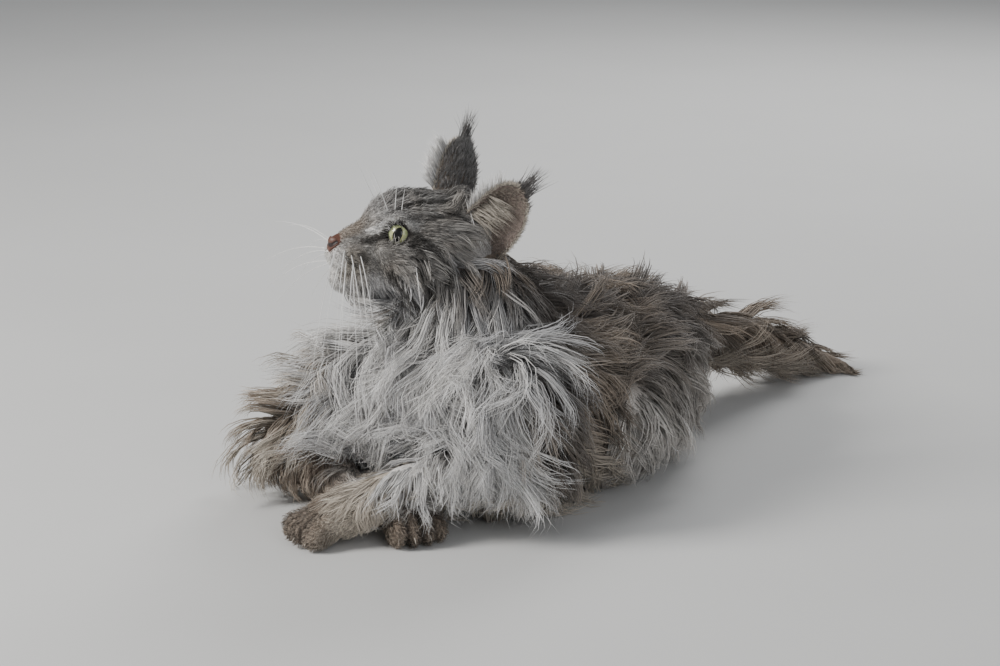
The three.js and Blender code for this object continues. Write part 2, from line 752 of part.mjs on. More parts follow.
// The tuft on an ear's tip, and the hair across its cup.
function earLocks(name) {
  const { place, chord, axis, facing } = earFrame(EARS[name]);
  const locks = [];
  for (const [kind, list] of Object.entries(EAR_LOCKS)) {
    for (const [up, across, length, width] of list) {
      const lining = kind === 'lining';
      const root = place(up, across, 0);
      const way = lining
        ? chord.clone().multiplyScalar(1.1).add(axis.clone().multiplyScalar(0.5)).normalize()
        : axis.clone().addScaledVector(chord, 0.35 * across).normalize();
      const rise = lining ? [-1, 6, 8, 7] : [0, 0, 0, 0];
      const path = rise.map((height, i) => ({
        at: root.clone()
          .addScaledVector(way, (i / LOCK.steps) * length - (lining ? 0 : 7))
          .addScaledVector(facing, height)
          .applyMatrix4(headMatrix),
        out: facing.clone().transformDirection(headMatrix),
      }));
      locks.push({ path, width, thick: lining ? 2.2 : 2.6 });
    }
  }
  return locks;
}

const cat = new THREE.Group();
const raw = {
  eye_left: (e) => eyeball(1, e),
  eye_right: (e) => eyeball(-1, e),
  head,
  ear_left: (e) => ear(EARS.ear_left, e),
  ear_right: (e) => ear(EARS.ear_right, e),
};
const coats = {};
for (const name of Object.keys(LIMBS)) {
  raw[name] = (e) => coreSolid(name, e);
  coats[name] = limbLocks(name);
}
coats.head = cheekLocks();
for (const name of ['torso', 'neck']) coats[name].push(...bibLocks(name));
for (const name of Object.keys(EARS)) coats[name] = earLocks(name);
for (const name of Object.keys(coats)) coats[name] = coats[name].filter((lock) => soft(lock.path));
const order = [
  'eye_left', 'eye_right', 'torso', 'neck', 'thigh_left', 'thigh_right', 'upper_arm_left', 'upper_arm_right',
  'tail_base', 'tail_middle', 'tail_tip', 'forearm_left', 'forearm_right', 'forepaw_left', 'forepaw_right',
  'hind_foot_left', 'hind_foot_right', 'head', 'ear_left', 'ear_right',
];
const above = solidOf(new THREE.BoxGeometry(2000, 2000, 1000).translate(0, 0, 500));
// A node gives way to every core before it, and its locks to every core and lock after it too.
const grown = order.map((name) => raw[name](GAP));
const dressed = [];
for (const [i, name] of [...order.entries()].reverse()) {
  const locks = coats[name] ?? [];
  let solid = raw[name](0);
  if (locks.length) {
    const clear = join(locks.map((lock) => lockSolid(lock)));
    solid = solid.add(clear.subtract(join([...grown.slice(i + 1), ...dressed])));
    dressed.push(join(locks.map((lock) => lockSolid(lock, GAP))));
  }
  if (i) solid = solid.subtract(join(grown.slice(0, i)));
  solid = largest(solid.intersect(above));
  if (locks.length) dressed.push(solid);
  cat.add(meshOf(name, solid, 0x9a9690, 0.9));
}

export default cat;
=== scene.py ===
"""A life-size long-haired silver tabby cat with a ruff, lying with crossed forepaws and looking over
its right shoulder. The skin, coat, eyes, nose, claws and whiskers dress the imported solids."""

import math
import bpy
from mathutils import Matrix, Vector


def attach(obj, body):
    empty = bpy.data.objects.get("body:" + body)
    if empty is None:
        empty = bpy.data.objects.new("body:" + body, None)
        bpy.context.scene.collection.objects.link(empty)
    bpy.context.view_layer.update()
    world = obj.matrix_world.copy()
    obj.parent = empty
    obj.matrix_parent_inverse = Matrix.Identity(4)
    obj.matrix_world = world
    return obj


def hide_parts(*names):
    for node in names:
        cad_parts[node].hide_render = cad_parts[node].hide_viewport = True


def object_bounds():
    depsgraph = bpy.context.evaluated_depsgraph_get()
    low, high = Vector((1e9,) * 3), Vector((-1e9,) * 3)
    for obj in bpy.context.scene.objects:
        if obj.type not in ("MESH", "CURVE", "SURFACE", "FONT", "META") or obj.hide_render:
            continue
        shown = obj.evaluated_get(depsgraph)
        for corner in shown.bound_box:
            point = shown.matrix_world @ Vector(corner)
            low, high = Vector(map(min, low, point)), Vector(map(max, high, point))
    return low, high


bl_info = {
    "name": "Long-haired cat",
    "version": (1, 0, 0),
    "blender": (4, 5, 0),
    "location": "View3D > Sidebar > Cat",
    "description": "Builds the skin, coat, eyes, nose, claws and whiskers of a lying cat",
    "category": "Add Mesh",
}

import bpy
import numpy as np
from mathutils import Matrix, Vector
from mathutils.bvhtree import BVHTree
from mathutils.kdtree import KDTree

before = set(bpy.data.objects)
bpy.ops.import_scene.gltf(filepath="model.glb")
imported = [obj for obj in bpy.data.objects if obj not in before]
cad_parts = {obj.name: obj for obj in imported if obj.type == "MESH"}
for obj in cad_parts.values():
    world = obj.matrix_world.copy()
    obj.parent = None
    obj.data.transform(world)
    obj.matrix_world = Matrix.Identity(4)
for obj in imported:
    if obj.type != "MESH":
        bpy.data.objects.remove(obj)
CAD_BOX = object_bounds()

# Sizes are in millimetres until a mesh is made. +Z is up, the cat faces -Y, its own left is +X.
MM = 0.001
UP = np.array([0.0, 0.0, 1.0])
TURN = 2 * math.pi


def mirrored(stations):
    """The same part on the body's other side."""
    return [[-x, *rest] for x, *rest in stations]


# Each station of a limb is [x, y, z, side, top, low, coat]: the flesh's half width, its height above
# and below the centre, and the depth of the coat over it.
THIGH = [[34, 212, 94, 40, 44, 36, 18], [58, 146, 78, 44, 50, 50, 22], [76, 76, 60, 34, 40, 38, 22]]
HIND_FOOT = [[60, 176, 23, 15, 18, 19, 5], [50, 100, 18, 14, 15, 14, 4], [36, 42, 15, 17, 13, 11, 4]]
# Each limb is the two domes that close it, its stations, and a hint that points to its sections' top.
LIMBS = {
    "torso": ([40, 44], [
        [0, 268, 78, 44, 44, 42, 22],
        [0, 225, 76, 66, 62, 62, 26],
        [0, 165, 78, 72, 72, 74, 26],
        [0, 100, 82, 76, 82, 78, 26],
        [0, 40, 86, 80, 90, 84, 28],
        [0, -15, 90, 80, 88, 88, 30],
        [0, -62, 98, 66, 62, 80, 32],
    ]),
    "neck": ([24, 10], [
        [0, -6, 118, 66, 56, 62, 26],
        [-3, -26, 158, 56, 52, 58, 30],
        [-12, -40, 194, 48, 46, 52, 26],
        [-14, -41, 222, 38, 38, 38, 16],
    ], [0, 1, 0]),
    "upper_arm_right": ([24, 24], [
        [-50, -60, 116, 38, 38, 36, 42],
        [-112, -82, 80, 33, 34, 30, 44],
        [-158, -96, 50, 25, 25, 24, 32],
    ]),
    "upper_arm_left": ([24, 22], [
        [52, -74, 118, 38, 38, 38, 26],
        [62, -60, 80, 33, 33, 34, 24],
        [68, -46, 52, 26, 26, 26, 16],
    ], [0, -1, 0]),
    "forearm_right": ([18, 12], [
        [-158, -98, 38, 22, 22, 22, 14],
        [-104, -114, 30, 19, 19, 19, 9],
        [-50, -127, 25, 16, 16, 16, 6],
    ]),
    "forearm_left": ([18, 12], [
        [68, -52, 44, 22, 22, 22, 14],
        [32, -104, 56, 19, 19, 19, 8],
        [-8, -145, 48, 16, 16, 16, 6],
    ]),
    "thigh_right": ([34, 26], mirrored(THIGH)),
    "thigh_left": ([34, 26], THIGH),
    "hind_foot_right": ([16, 12], mirrored(HIND_FOOT)),
    "hind_foot_left": ([16, 12], HIND_FOOT),
    "forepaw_right": ([10, 13], [
        [-40, -130, 24, 16, 16, 16, 4],
        [-16, -139, 22, 20, 17, 18, 4],
        [4, -147, 17, 21, 15, 15, 4],
    ]),
    "forepaw_left": ([10, 15], [
        [-14, -150, 44, 16, 16, 16, 4],
        [-40, -172, 27, 21, 18, 20, 4],
        [-64, -192, 17, 24, 15, 15, 4],
    ]),
    "tail_base": ([10, 8], [
        [0, 286, 90, 15, 15, 16, 22],
        [20, 340, 82, 14, 14, 14, 30],
        [33, 388, 70, 12, 12, 12, 32],
    ]),
    "tail_middle": ([8, 8], [
        [34, 396, 67, 12, 12, 12, 32],
        [39, 430, 56, 11, 11, 11, 28],
        [47, 470, 42, 9, 9, 9, 20],
    ]),
    "tail_tip": ([8, 6], [
        [48, 478, 39, 9, 9, 9, 20],
        [58, 506, 25, 8, 8, 8, 14],
        [80, 524, 13, 6, 6, 6, 8],
        [96, 529, 8, 4, 4, 4, 4],
    ]),
}

# The head's own frame points forward, left and up from its place in the body.
HEAD = {"at": [-35, -61, 245], "yaw": 38, "pitch": 7}
# Each form of the head is [forward, left, up, half sizes along those, coat], mirrored off the middle.
HEAD_FORMS = {
    "cranium": [-6, 0, 2, 42, 34, 32, 8],
    "forehead": [20, 0, 6, 38, 26, 30, 4],
    "bridge": [50, 0, 0, 25, 8, 10, 2],
    "nose": [78, 0, -8, 10, 7, 6.5, 0.5],
    "upper_jaw": [54, 0, -17, 26, 17, 14, 4],
    "pad": [73.5, 8.5, -20, 12.5, 9.5, 10, 2.5],
    "chin": [70, 0, -40, 11.5, 9, 9, 4],
    "lower_jaw": [40, 0, -34, 32, 18, 13, 7],
    "cheek": [10, 25, -22, 26, 14, 26, 10],
    "brow": [32, 19, 17, 10, 11, 6, 2.5],
    "cheekbone": [38, 27, -9, 14, 7, 8, 3],
    "nape": [-28, 0, -16, 26, 30, 32, 12],
}
FACE_BLEND = 9
# The share of the head's coat that lies inside the face's surface.
FACE_DEPTH = 0.55
# The place in the head that rays find its skin from. It is also the middle of the head's map.
HEART = np.array([32.0, 0.0, -10.0])
MOUTH = [[88, 0, -28], [85, 5, -31], [79, 11, -33.5], [70, 16, -33.5], [60, 19, -31], [52, 21, -27]]
MOUTH_FOLD = {"deep": 1.0, "wide": 1.3, "lip": 0.5, "lip_off": 3.4, "lip_wide": 1.8}
PHILTRUM = [[90, 0, -14], [90, 0, -20], [88, 0, -28]]
PHILTRUM_FOLD = {"deep": 1.1, "wide": 1.2}
# Angles in degrees. The iris looks further out than the ball faces, and its top leans by a share.
EYE = {"at": [32, 19, 5], "radius": 11, "outward": 45, "upward": 4, "iris": 12, "lean": 0.3}
ORBIT = {"out": 13, "deep": 11, "wide": 12.5, "high": 11, "blend": 3}
# The nose's leather is laid on the face round a middle.
NOSE = {"at": [84, 0, -9], "centre": [81.0, 0, -9.5], "radius": 8.5, "lift": 1.3, "dent": 1.1, "sink": 1.4}
NOSTRIL = [[89, 2.6, -10.5], [87, 5.2, -10], [83, 6.8, -7.5]]
EARS = {
    "ear_left": {"front": [-21, 29, 27], "back": [-50, 33, -16], "tip": [-61, 61, 55], "hollow": 13},
    "ear_right": {"front": [-9, -26, 34], "back": [-48, -36, 14], "tip": [-43, -50, 80], "hollow": 11},
}
# Shares of an ear: how much of the way to its tip it rises, how round its outline and how full it is,
# how much flatter its cup is at the tip, and how much thinner its edge is.
EAR_LEAF = {"rise": 0.95, "round": 3.4, "full": 0.62, "flatter": 0.75, "thinner": 0.55, "rooted": -0.16}
EAR_THICK = 2.2
# Toes across a paw, as shares of its half width like wide and spread, and how they fan and part.
TOES = {
    "across": [-0.9, -0.31, 0.31, 0.9], "long": 15, "wide": 0.35, "high": 12, "spread": 0.82,
    "ahead": 0.7, "arc": 0.5, "fan": 0.4, "gap": 0.16, "press": 5.2,
}
# How far the toes of each paw fan round from the paw's own way, in degrees.
PAWS = {"forepaw_left": 20, "forepaw_right": -12, "hind_foot_left": 0, "hind_foot_right": 0}


def unit(v):
    """Vectors at length one."""
    return v / np.maximum(np.linalg.norm(v, axis=-1, keepdims=True), 1e-9)


def ramp(x, low, high):
    """A soft step from 0 at low to 1 at high."""
    s = np.clip((x - low) / (high - low), 0, 1)
    return s * s * (3 - 2 * s)


def blend(a, b, share):
    """Colours or vectors part of the way from a to b."""
    return a + (b - a) * np.asarray(share)[..., None]


def folded(p):
    """Places in the head's frame, those of the right side moved to the left one."""
    return p * [1, 0, 1] + np.abs(p) * [0, 1, 0]


def peak(x, width):
    """A soft bump of height 1 where x is 0."""
    return np.exp(-((x / width) ** 2))


def soft_min(a, b, width):
    """The lesser of two distances, run together over a width."""
    near = np.maximum(0, width - np.abs(a - b)) / width
    return np.minimum(a, b) - near * near * width / 4


def noise(p, size, seed=0):
    """Smooth noise from 0 to 1 with lumps of about that size."""
    q = np.asarray(p) / size + seed * 17.3
    cell = np.floor(q).astype(np.int64)
    w = q - cell
    w = w * w * (3 - 2 * w)
    total = 0.0
    for corner in np.ndindex(2, 2, 2):
        x, y, z = (cell + np.array(corner)).T
        mixed = (x * 374761393 + y * 668265263 + z * 2147483647 + seed * 974711) & 0x7FFFFFFF
        mixed = ((mixed ^ (mixed >> 13)) * 1274126177) & 0x7FFFFFFF
        value = ((mixed ^ (mixed >> 16)) & 0xFFFF) / 0xFFFF
        share = np.prod([np.where(c, w[:, k], 1 - w[:, k]) for k, c in enumerate(corner)], axis=0)
        total = total + value * share
    return total


def spline(points, t):
    """Places on a smooth line through the points, at shares t of the way."""
    points = np.asarray(points, float)
    last = len(points) - 1
    x = np.clip(t, 0, 1) * last
    i = np.minimum(x.astype(int), last - 1)
    w = (x - i)[:, None]
    padded = np.vstack([2 * points[0] - points[1], points, 2 * points[-1] - points[-2]])
    before, a, b, after = (padded[i + k] for k in range(4))
    slope_a, slope_b = (b - before) / 2, (after - a) / 2
    second, third = 3 * (b - a) - 2 * slope_a - slope_b, 2 * (a - b) + slope_a + slope_b
    return a + slope_a * w + second * w**2 + third * w**3


def near_line(p, line):
    """How far points lie from a line through places."""
    line = np.asarray(line, float)
    best = np.full(len(p), np.inf)
    for a, b in zip(line, line[1:]):
        share = np.clip((p - a) @ (b - a) / ((b - a) @ (b - a)), 0, 1)
        best = np.minimum(best, np.linalg.norm(p - a - share[:, None] * (b - a), axis=1))
    return best


class Limb:
    """A part of the body: rounded sections along a smooth line, with a dome at each end."""

    def __init__(self, domes, stations, hint=(0, 0, 1)):
        self.stations = np.asarray(stations, float)
        self.domes = np.asarray(domes, float)
        self.hint = np.asarray(hint, float)
        self.marks = self.sections(np.linspace(0, 1, 25))

    def sections(self, t):
        values = spline(self.stations, t)
        step = 1e-3
        line = self.stations[:, :3]
        along = unit(spline(line, np.minimum(t + step, 1)) - spline(line, np.maximum(t - step, 0)))
        side = unit(np.cross(self.hint, along))
        return {
            "centre": values[:, :3],
            "girth": values[:, 3:6],
            "coat": values[:, 6],
            "along": along,
            "side": side,
            "top": unit(np.cross(along, side)),
        }

    def surface(self, v, angle):
        """Places on the limb at v, from -1 at one dome's middle over 0 to 1 along it to 2."""
        s = self.sections(np.clip(v, 0, 1))
        over = np.clip(np.maximum(-v, v - 1), 0, 1) * math.pi / 2
        reach = np.where(v < 0, -1, 1) * np.where(v < 0, *self.domes) * np.sin(over)
        c, n = np.cos(angle), np.sin(angle)
        wide = s["girth"][:, 0] * c * np.cos(over)
        high = np.where(n > 0, s["girth"][:, 1], s["girth"][:, 2]) * n * np.cos(over)
        side, top = s["side"] * wide[:, None], s["top"] * high[:, None]
        return s["centre"] + side + top + s["along"] * reach[:, None]

    def nearest(self, p):
        """Which of the limb's marks each place is nearest to."""
        return ((p[:, None, :] - self.marks["centre"][None]) ** 2).sum(axis=2).argmin(axis=1)

    def distance(self, p):
        """About how far points lie outside the limb."""
        near = self.nearest(p)
        m = {key: value[near] for key, value in self.marks.items()}
        off = p - m["centre"]
        ends = (near == 0) | (near == len(self.marks["coat"]) - 1)
        along = (off * m["along"]).sum(axis=1) * np.where(near == 0, -1, 1)
        past = np.where(ends, np.maximum(0, along), 0)
        dome = np.where(near == 0, *self.domes)
        wide = (off * m["side"]).sum(axis=1)
        high = (off * m["top"]).sum(axis=1)
        rise = np.where(high > 0, m["girth"][:, 1], m["girth"][:, 2])
        share = np.sqrt((wide / m["girth"][:, 0]) ** 2 + (high / rise) ** 2 + (past / dome) ** 2)
        across = np.sqrt(wide**2 + high**2 + past**2)
        return np.where(share < 1e-6, -rise, across * (1 - 1 / np.maximum(share, 1e-6)))


BODY = {name: Limb(*size) for name, size in LIMBS.items()}


def rotation(axis, degrees):
    return np.array(Matrix.Rotation(math.radians(degrees), 3, axis))


# Columns of the head's turn are its forward, left and up in the body's frame.
HEAD_AXES = np.array([[0, 1, 0], [-1, 0, 0], [0, 0, 1]])
HEAD_TURN = rotation("Z", -HEAD["yaw"]) @ rotation("X", -HEAD["pitch"]) @ HEAD_AXES


def from_head(p):
    return np.asarray(p, float) @ HEAD_TURN.T + HEAD["at"]


def to_head(p):
    return (np.asarray(p, float) - HEAD["at"]) @ HEAD_TURN


def form_distance(p, centre, sizes):
    q = (p - centre) / sizes
    k = np.linalg.norm(q, axis=1)
    return k * (k - 1) / np.maximum(np.linalg.norm(q / sizes, axis=1), 1e-9)


def eye_axes(side, turned=0):
    """The way an eye faces, across it and its top, in the head's frame. Its iris is turned a little more."""
    a, b = math.radians(EYE["outward"] + turned), math.radians(EYE["upward"])
    way = np.array([math.cos(a) * math.cos(b), side * math.sin(a) * math.cos(b), math.sin(b)])
    across = unit(np.cross(UP, way))
    return way, across, np.cross(way, across)


def eye_centre(side):
    return np.array(EYE["at"]) * [1, side, 1]


def head_distance(p, depth=0.0):
    """About how far points in the head's frame lie outside its flesh, or outside its coat at a depth."""
    whole = np.full(len(p), 1e6)
    for form in HEAD_FORMS.values():
        centre, sizes = np.array(form[:3], float), np.array(form[3:6], float) + form[6] * depth
        for side in [-1, 1] if form[1] else [1]:
            whole = soft_min(whole, form_distance(p, centre * [1, side, 1], sizes), FACE_BLEND)
    return whole


def face_distance(p):
    """The head with its orbits, the line of its mouth and its lips."""
    whole = head_distance(p, FACE_DEPTH)
    q = folded(p)
    for side in [-1, 1]:
        way, across, top = eye_axes(side)
        off = p - eye_centre(side) - way * ORBIT["out"]
        local = np.stack([off @ way, off @ across, off @ top], axis=1)
        hollow = form_distance(local, 0, np.array([ORBIT["deep"], ORBIT["wide"], ORBIT["high"]], float))
        whole = -soft_min(-whole, hollow, ORBIT["blend"])
    mouth, fold = near_line(q, MOUTH), MOUTH_FOLD
    lip = fold["lip"] * peak(mouth - fold["lip_off"], fold["lip_wide"])
    whole += fold["deep"] * peak(mouth, fold["wide"]) - lip
    whole += PHILTRUM_FOLD["deep"] * peak(near_line(q, PHILTRUM), PHILTRUM_FOLD["wide"])
    return whole


def settle(p):
    """The nearest places on the face, and the ways out of it there."""
    q = np.array(p, float)
    for _ in range(6):
        here = face_distance(q)
        slope = unit(np.stack([face_distance(q + d) - here for d in np.eye(3) * 0.4], axis=1))
        q -= slope * here[:, None]
    return q, slope


# How the skin is made: the body's shell from small cubes, the head's from rays out of its heart.
SKIN = {
    "cube": 2.9, "smooth": 5, "head_depth": 0.3, "columns": 190, "rows": 150, "front": 1.5, "floor": 1.0,
}
# The lids' rim: its inner radius, its opening and its thickness. Tilt and reach are in degrees.
LIDS = {
    "columns": 72, "inner": 11.25, "wide": 9.6, "high": 8.0, "tilt": 16, "corner": 2.6, "thick": 1.5,
    "reach": 34,
}


def fast_mesh(name, points, faces):
    """A mesh from arrays of places in millimetres and of triangles or quads."""
    mesh = bpy.data.meshes.new(name)
    faces = np.asarray(faces)
    mesh.vertices.add(len(points))
    mesh.vertices.foreach_set("co", (np.asarray(points) * MM).astype(np.float32).ravel())
    mesh.loops.add(faces.size)
    mesh.loops.foreach_set("vertex_index", faces.astype(np.int32).ravel())
    mesh.polygons.add(len(faces))
    mesh.polygons.foreach_set("loop_start", np.arange(0, faces.size, faces.shape[1], dtype=np.int32))
    mesh.update(calc_edges=True)
    mesh.shade_smooth()
    return mesh


def place_object(name, mesh):
    old = bpy.data.objects.get(name)
    if old:
        bpy.data.objects.remove(old)
    obj = bpy.data.objects.new(name, mesh)
    bpy.context.scene.collection.objects.link(obj)
    return obj


def places(mesh):
    """The mesh's vertices in millimetres."""
    co = np.empty(len(mesh.vertices) * 3, np.float32)
    mesh.vertices.foreach_get("co", co)
    return co.reshape(-1, 3).astype(float) / MM


def grid(count, around, closed=False):
    """Triangles between rings of places. Closed joins the last ring to the first."""
    i, j = np.indices((count if closed else count - 1, around)).reshape(2, -1)
    after, beside = (i + 1) % count * around, (j + 1) % around
    a, b, c, d = i * around + j, i * around + beside, after + beside, after + j
    return np.concatenate([np.stack([a, b, c], 1), np.stack([a, c, d], 1)])


def shell(rings, poles=None):
    """A closed mesh through rings of equally many places, each end closed by a fan to a pole."""
    rings = np.asarray(rings, float)
    count, around = rings.shape[:2]
    ends = poles if poles is not None else [rings[0].mean(axis=0), rings[-1].mean(axis=0)]
    points = np.vstack([rings.reshape(-1, 3), ends])
    j = np.arange(around)
    beside, last, pole = (j + 1) % around, (count - 1) * around, np.full(around, count * around)
    first_cap = np.stack([beside, j, pole], 1)
    last_cap = np.stack([last + j, last + beside, pole + 1], 1)
    return points, np.concatenate([grid(count, around), first_cap, last_cap])


def facing_out(points, faces):
    """The faces turned so that the closed shell's volume is positive."""
    a, b, c = (points[faces[:, k]] for k in range(3))
    return faces if (a * np.cross(b, c)).sum() > 0 else faces[:, ::-1]


def applied(obj):
    """The object's mesh with its modifiers worked in."""
    depsgraph = bpy.context.evaluated_depsgraph_get()
    mesh = bpy.data.meshes.new_from_object(obj.evaluated_get(depsgraph))
    obj.modifiers.clear()
    obj.data = mesh
    return obj


def ball_grid(lean, columns):
    """Places on a ball of radius 1: along its way, and across it by each column's turn."""
    turn = np.linspace(0, TURN, columns, endpoint=False)[None, :]
    return np.cos(lean) + 0 * turn, np.sin(lean) * np.cos(turn), np.sin(lean) * np.sin(turn)


def ball(centre, sizes, forward, columns=20, rows=12):
    """An ellipsoid with its half sizes along a forward way, across it and up."""
    side = unit(np.cross(UP, forward))
    top = np.cross(forward, side)
    local = np.stack(ball_grid(np.linspace(0, math.pi, rows + 1)[1:-1, None], columns), axis=2)
    axes = np.stack([forward * sizes[0], side * sizes[1], top * sizes[2]])
    return shell(local @ axes + centre, [centre + axes[0], centre - axes[0]])


class Paw:
    """The end of a paw: its middle, the way its toes point, across them, and each toe's place and way."""

    def __init__(self, name):
        limb = BODY[name]
        s = {key: value[0] for key, value in limb.sections(np.array([1.0])).items()}
        turn = rotation("Z", PAWS[name])
        self.centre, self.wide = s["centre"], s["girth"][0]
        self.along = turn @ unit(s["along"] * [1, 1, 0])
        self.side = turn @ unit(s["side"] * [1, 1, 0])
        self.toes = []
        for share in TOES["across"]:
            at = self.centre + self.along * limb.domes[1] * TOES["ahead"] * (1 - TOES["arc"] * share**2)
            at = at + self.side * share * self.wide * TOES["spread"]
            at[2] = TOES["high"]
            self.toes.append((at, unit(self.along + self.side * TOES["fan"] * share)))

    def shells(self):
        sizes = [TOES["long"], self.wide * TOES["wide"], TOES["high"]]
        return [ball(at, sizes, way) for at, way in self.toes]


def limb_shell(limb):
    v = np.concatenate([np.linspace(-0.97, -0.05, 10), np.linspace(0, 1, 36), np.linspace(1.05, 1.97, 10)])
    angle = np.linspace(0, TURN, 48, endpoint=False)
    vv, aa = np.meshgrid(v, angle, indexing="ij")
    rings = limb.surface(vv.ravel(), aa.ravel()).reshape(len(v), len(angle), 3)
    return shell(rings, limb.surface(np.array([-1.0, 2.0]), np.zeros(2)))


def face_place(way, low=0.0, high=140.0):
    """Where rays from the head's heart leave the face, in the head's frame."""
    near, far = np.full(len(way), low), np.full(len(way), high)
    for _ in range(18):
        middle = (near + far) / 2
        inside = face_distance(way * middle[:, None] + HEART) < 0
        near, far = np.where(inside, middle, near), np.where(inside, far, middle)
    return way * near[:, None] + HEART


def head_shell():
    columns, rows = SKIN["columns"], SKIN["rows"]
    lean = math.pi * (np.arange(1, rows) / rows) ** SKIN["front"]
    way = np.stack(ball_grid(lean[:, None], columns), axis=2).reshape(-1, 3)
    rings = from_head(face_place(way)).reshape(len(lean), columns, 3)
    poles = from_head(face_place(np.array([[1.0, 0, 0], [-1.0, 0, 0]])))
    return shell(rings, poles)


def opening(angle):
    """The edge of the lids across and up from the eye's middle: round above, drawn to the nose inside."""
    x, y = np.cos(angle), np.sin(angle)
    inner = np.minimum(peak((angle - math.pi) % TURN, 0.42) + peak((math.pi - angle) % TURN, 0.42), 1)
    wide = LIDS["wide"] * x - LIDS["corner"] * inner
    high = LIDS["high"] * y * np.abs(y) ** 0.15 - 0.5 * inner
    tilt = math.radians(LIDS["tilt"])
    return wide * math.cos(tilt) - high * math.sin(tilt), wide * math.sin(tilt) + high * math.cos(tilt)


def lid_shell(side):
    """The lids of one eye: a closed rolled rim round the opening that runs out under the skin."""
    way, across, top = eye_axes(side)
    outward = across * side
    x, y = opening(np.linspace(0, TURN, LIDS["columns"], endpoint=False))
    flat = np.arctan2(y, x)
    open_lean = np.arcsin(np.minimum(np.hypot(x, y) / EYE["radius"], 0.97))
    inner, thick = LIDS["inner"], LIDS["thick"]
    reach = math.radians(LIDS["reach"])
    profile = [
        (0.0, inner), (-0.03, inner + 0.45 * thick), (0.02, inner + 0.9 * thick), (0.12, inner + thick),
        (0.35 * reach, inner + 1.05 * thick), (0.7 * reach, inner + 0.75 * thick), (reach, inner - 0.4),
        (0.8 * reach, inner - 0.1), (0.4 * reach, inner),
    ]
    rings = []
    for extra, radius in profile:
        lean = open_lean + extra
        direction = (
            np.cos(lean)[:, None] * way
            + (np.sin(lean) * np.cos(flat))[:, None] * outward
            + (np.sin(lean) * np.sin(flat))[:, None] * top
        )
        rings.append(direction * radius + eye_centre(side))
    return from_head(np.array(rings)).reshape(-1, 3), grid(len(rings), LIDS["columns"], closed=True)


class Ear:
    """A cupped leaf in the head's frame, with places up and across it and off its middle sheet."""

    def __init__(self, front, back, tip, hollow):
        front, back, tip = (np.array(p, float) for p in (front, back, tip))
        self.foot = (front + back) / 2
        self.rise = (tip - self.foot) * EAR_LEAF["rise"]
        self.axis = unit(self.rise)
        self.half = np.linalg.norm(back - front) / 2
        self.chord = unit(back - front)
        self.facing = unit(np.cross(self.chord, self.axis)) * np.sign(front[1])
        self.hollow = hollow

    def place(self, up, across, off=0.0):
        up, across, off = np.broadcast_arrays(up, across, off)
        high = np.clip(up, 0, 1)
        wide = self.half * np.maximum(0.05, np.maximum(0, 1 - high ** EAR_LEAF["round"]) ** EAR_LEAF["full"])
        deep = self.hollow * (1 - EAR_LEAF["flatter"] * high) * np.minimum(1, wide / self.half + 0.1)
        fold = -deep * (1 - across**2) + off * (1 - EAR_LEAF["thinner"] * across**2)
        side = self.chord * (wide * across)[..., None]
        return self.foot + self.rise * up[..., None] + side + self.facing * fold[..., None]

    def shell(self):
        up = np.linspace(EAR_LEAF["rooted"], 1, 34)[:, None]
        across = np.linspace(-1, 1, 21)[None, :]
        inner = self.place(up, across, EAR_THICK / 2)
        outer = self.place(up, across[:, ::-1], -EAR_THICK / 2)
        return shell(from_head(np.concatenate([inner, outer], axis=1)))


EAR = {name: Ear(**size) for name, size in EARS.items()}


def make_skin():
    """One closed skin: the body's shells joined, with the head, its lids and its ears."""
    shells = [limb_shell(limb) for limb in BODY.values()]
    for name in PAWS:
        shells += Paw(name).shells()
    points, faces, start = [], [], 0
    for p, f in shells:
        points.append(p)
        faces.append(facing_out(p, f) + start)
        start += len(p)
    body = place_object("skin", fast_mesh("skin", np.vstack(points), np.vstack(faces)))
    cubes = body.modifiers.new("cubes", "REMESH")
    cubes.mode = "VOXEL"
    cubes.voxel_size = SKIN["cube"] * MM
    smooth = body.modifiers.new("smooth", "SMOOTH")
    smooth.iterations = SKIN["smooth"]
    applied(body)
    helpers = []
    for p, f in [head_shell(), lid_shell(1), lid_shell(-1), *[ear.shell() for ear in EAR.values()]]:
        helper = place_object(f"helper_{len(helpers)}", fast_mesh("helper", p, facing_out(p, f)))
        union = body.modifiers.new("union", "BOOLEAN")
        union.operation = "UNION"
        union.solver = "MANIFOLD"
        union.object = helper
        helpers.append(helper)
    applied(body)
    for helper in helpers:
        bpy.data.objects.remove(helper)
    at = places(body.data)
    out = np.empty(at.size, np.float32)
    body.data.vertices.foreach_get("normal", out)
    at -= out.reshape(-1, 3) * (TOES["press"] * toe_gaps(at))[:, None]
    at[:, 2] = np.maximum(at[:, 2], SKIN["floor"])
    body.data.vertices.foreach_set("co", (at * MM).astype(np.float32).ravel())
    body.data.update()
    body.data.shade_smooth()
    return body


class Tone:
    """Linear colours of the coat and the bare skin."""

    silver = np.array([0.62, 0.615, 0.62])
    white = np.array([0.80, 0.785, 0.765])
    grey = np.array([0.33, 0.325, 0.315])
    dark = np.array([0.05, 0.045, 0.04])
    back = np.array([0.19, 0.165, 0.145])
    beige = np.array([0.38, 0.31, 0.245])
    cream = np.array([0.56, 0.505, 0.43])
    brown = np.array([0.19, 0.155, 0.125])
    pink = np.array([0.26, 0.21, 0.185])
    liner = np.array([0.02, 0.016, 0.014])
    brick = np.array([0.11, 0.046, 0.03])
    slate = np.array([0.14, 0.132, 0.128])
    taupe = np.array([0.34, 0.29, 0.24])


def on_face(line):
    """A line of marks laid on the face."""
    return settle(spline(line, np.linspace(0, 1, 13)))[0]


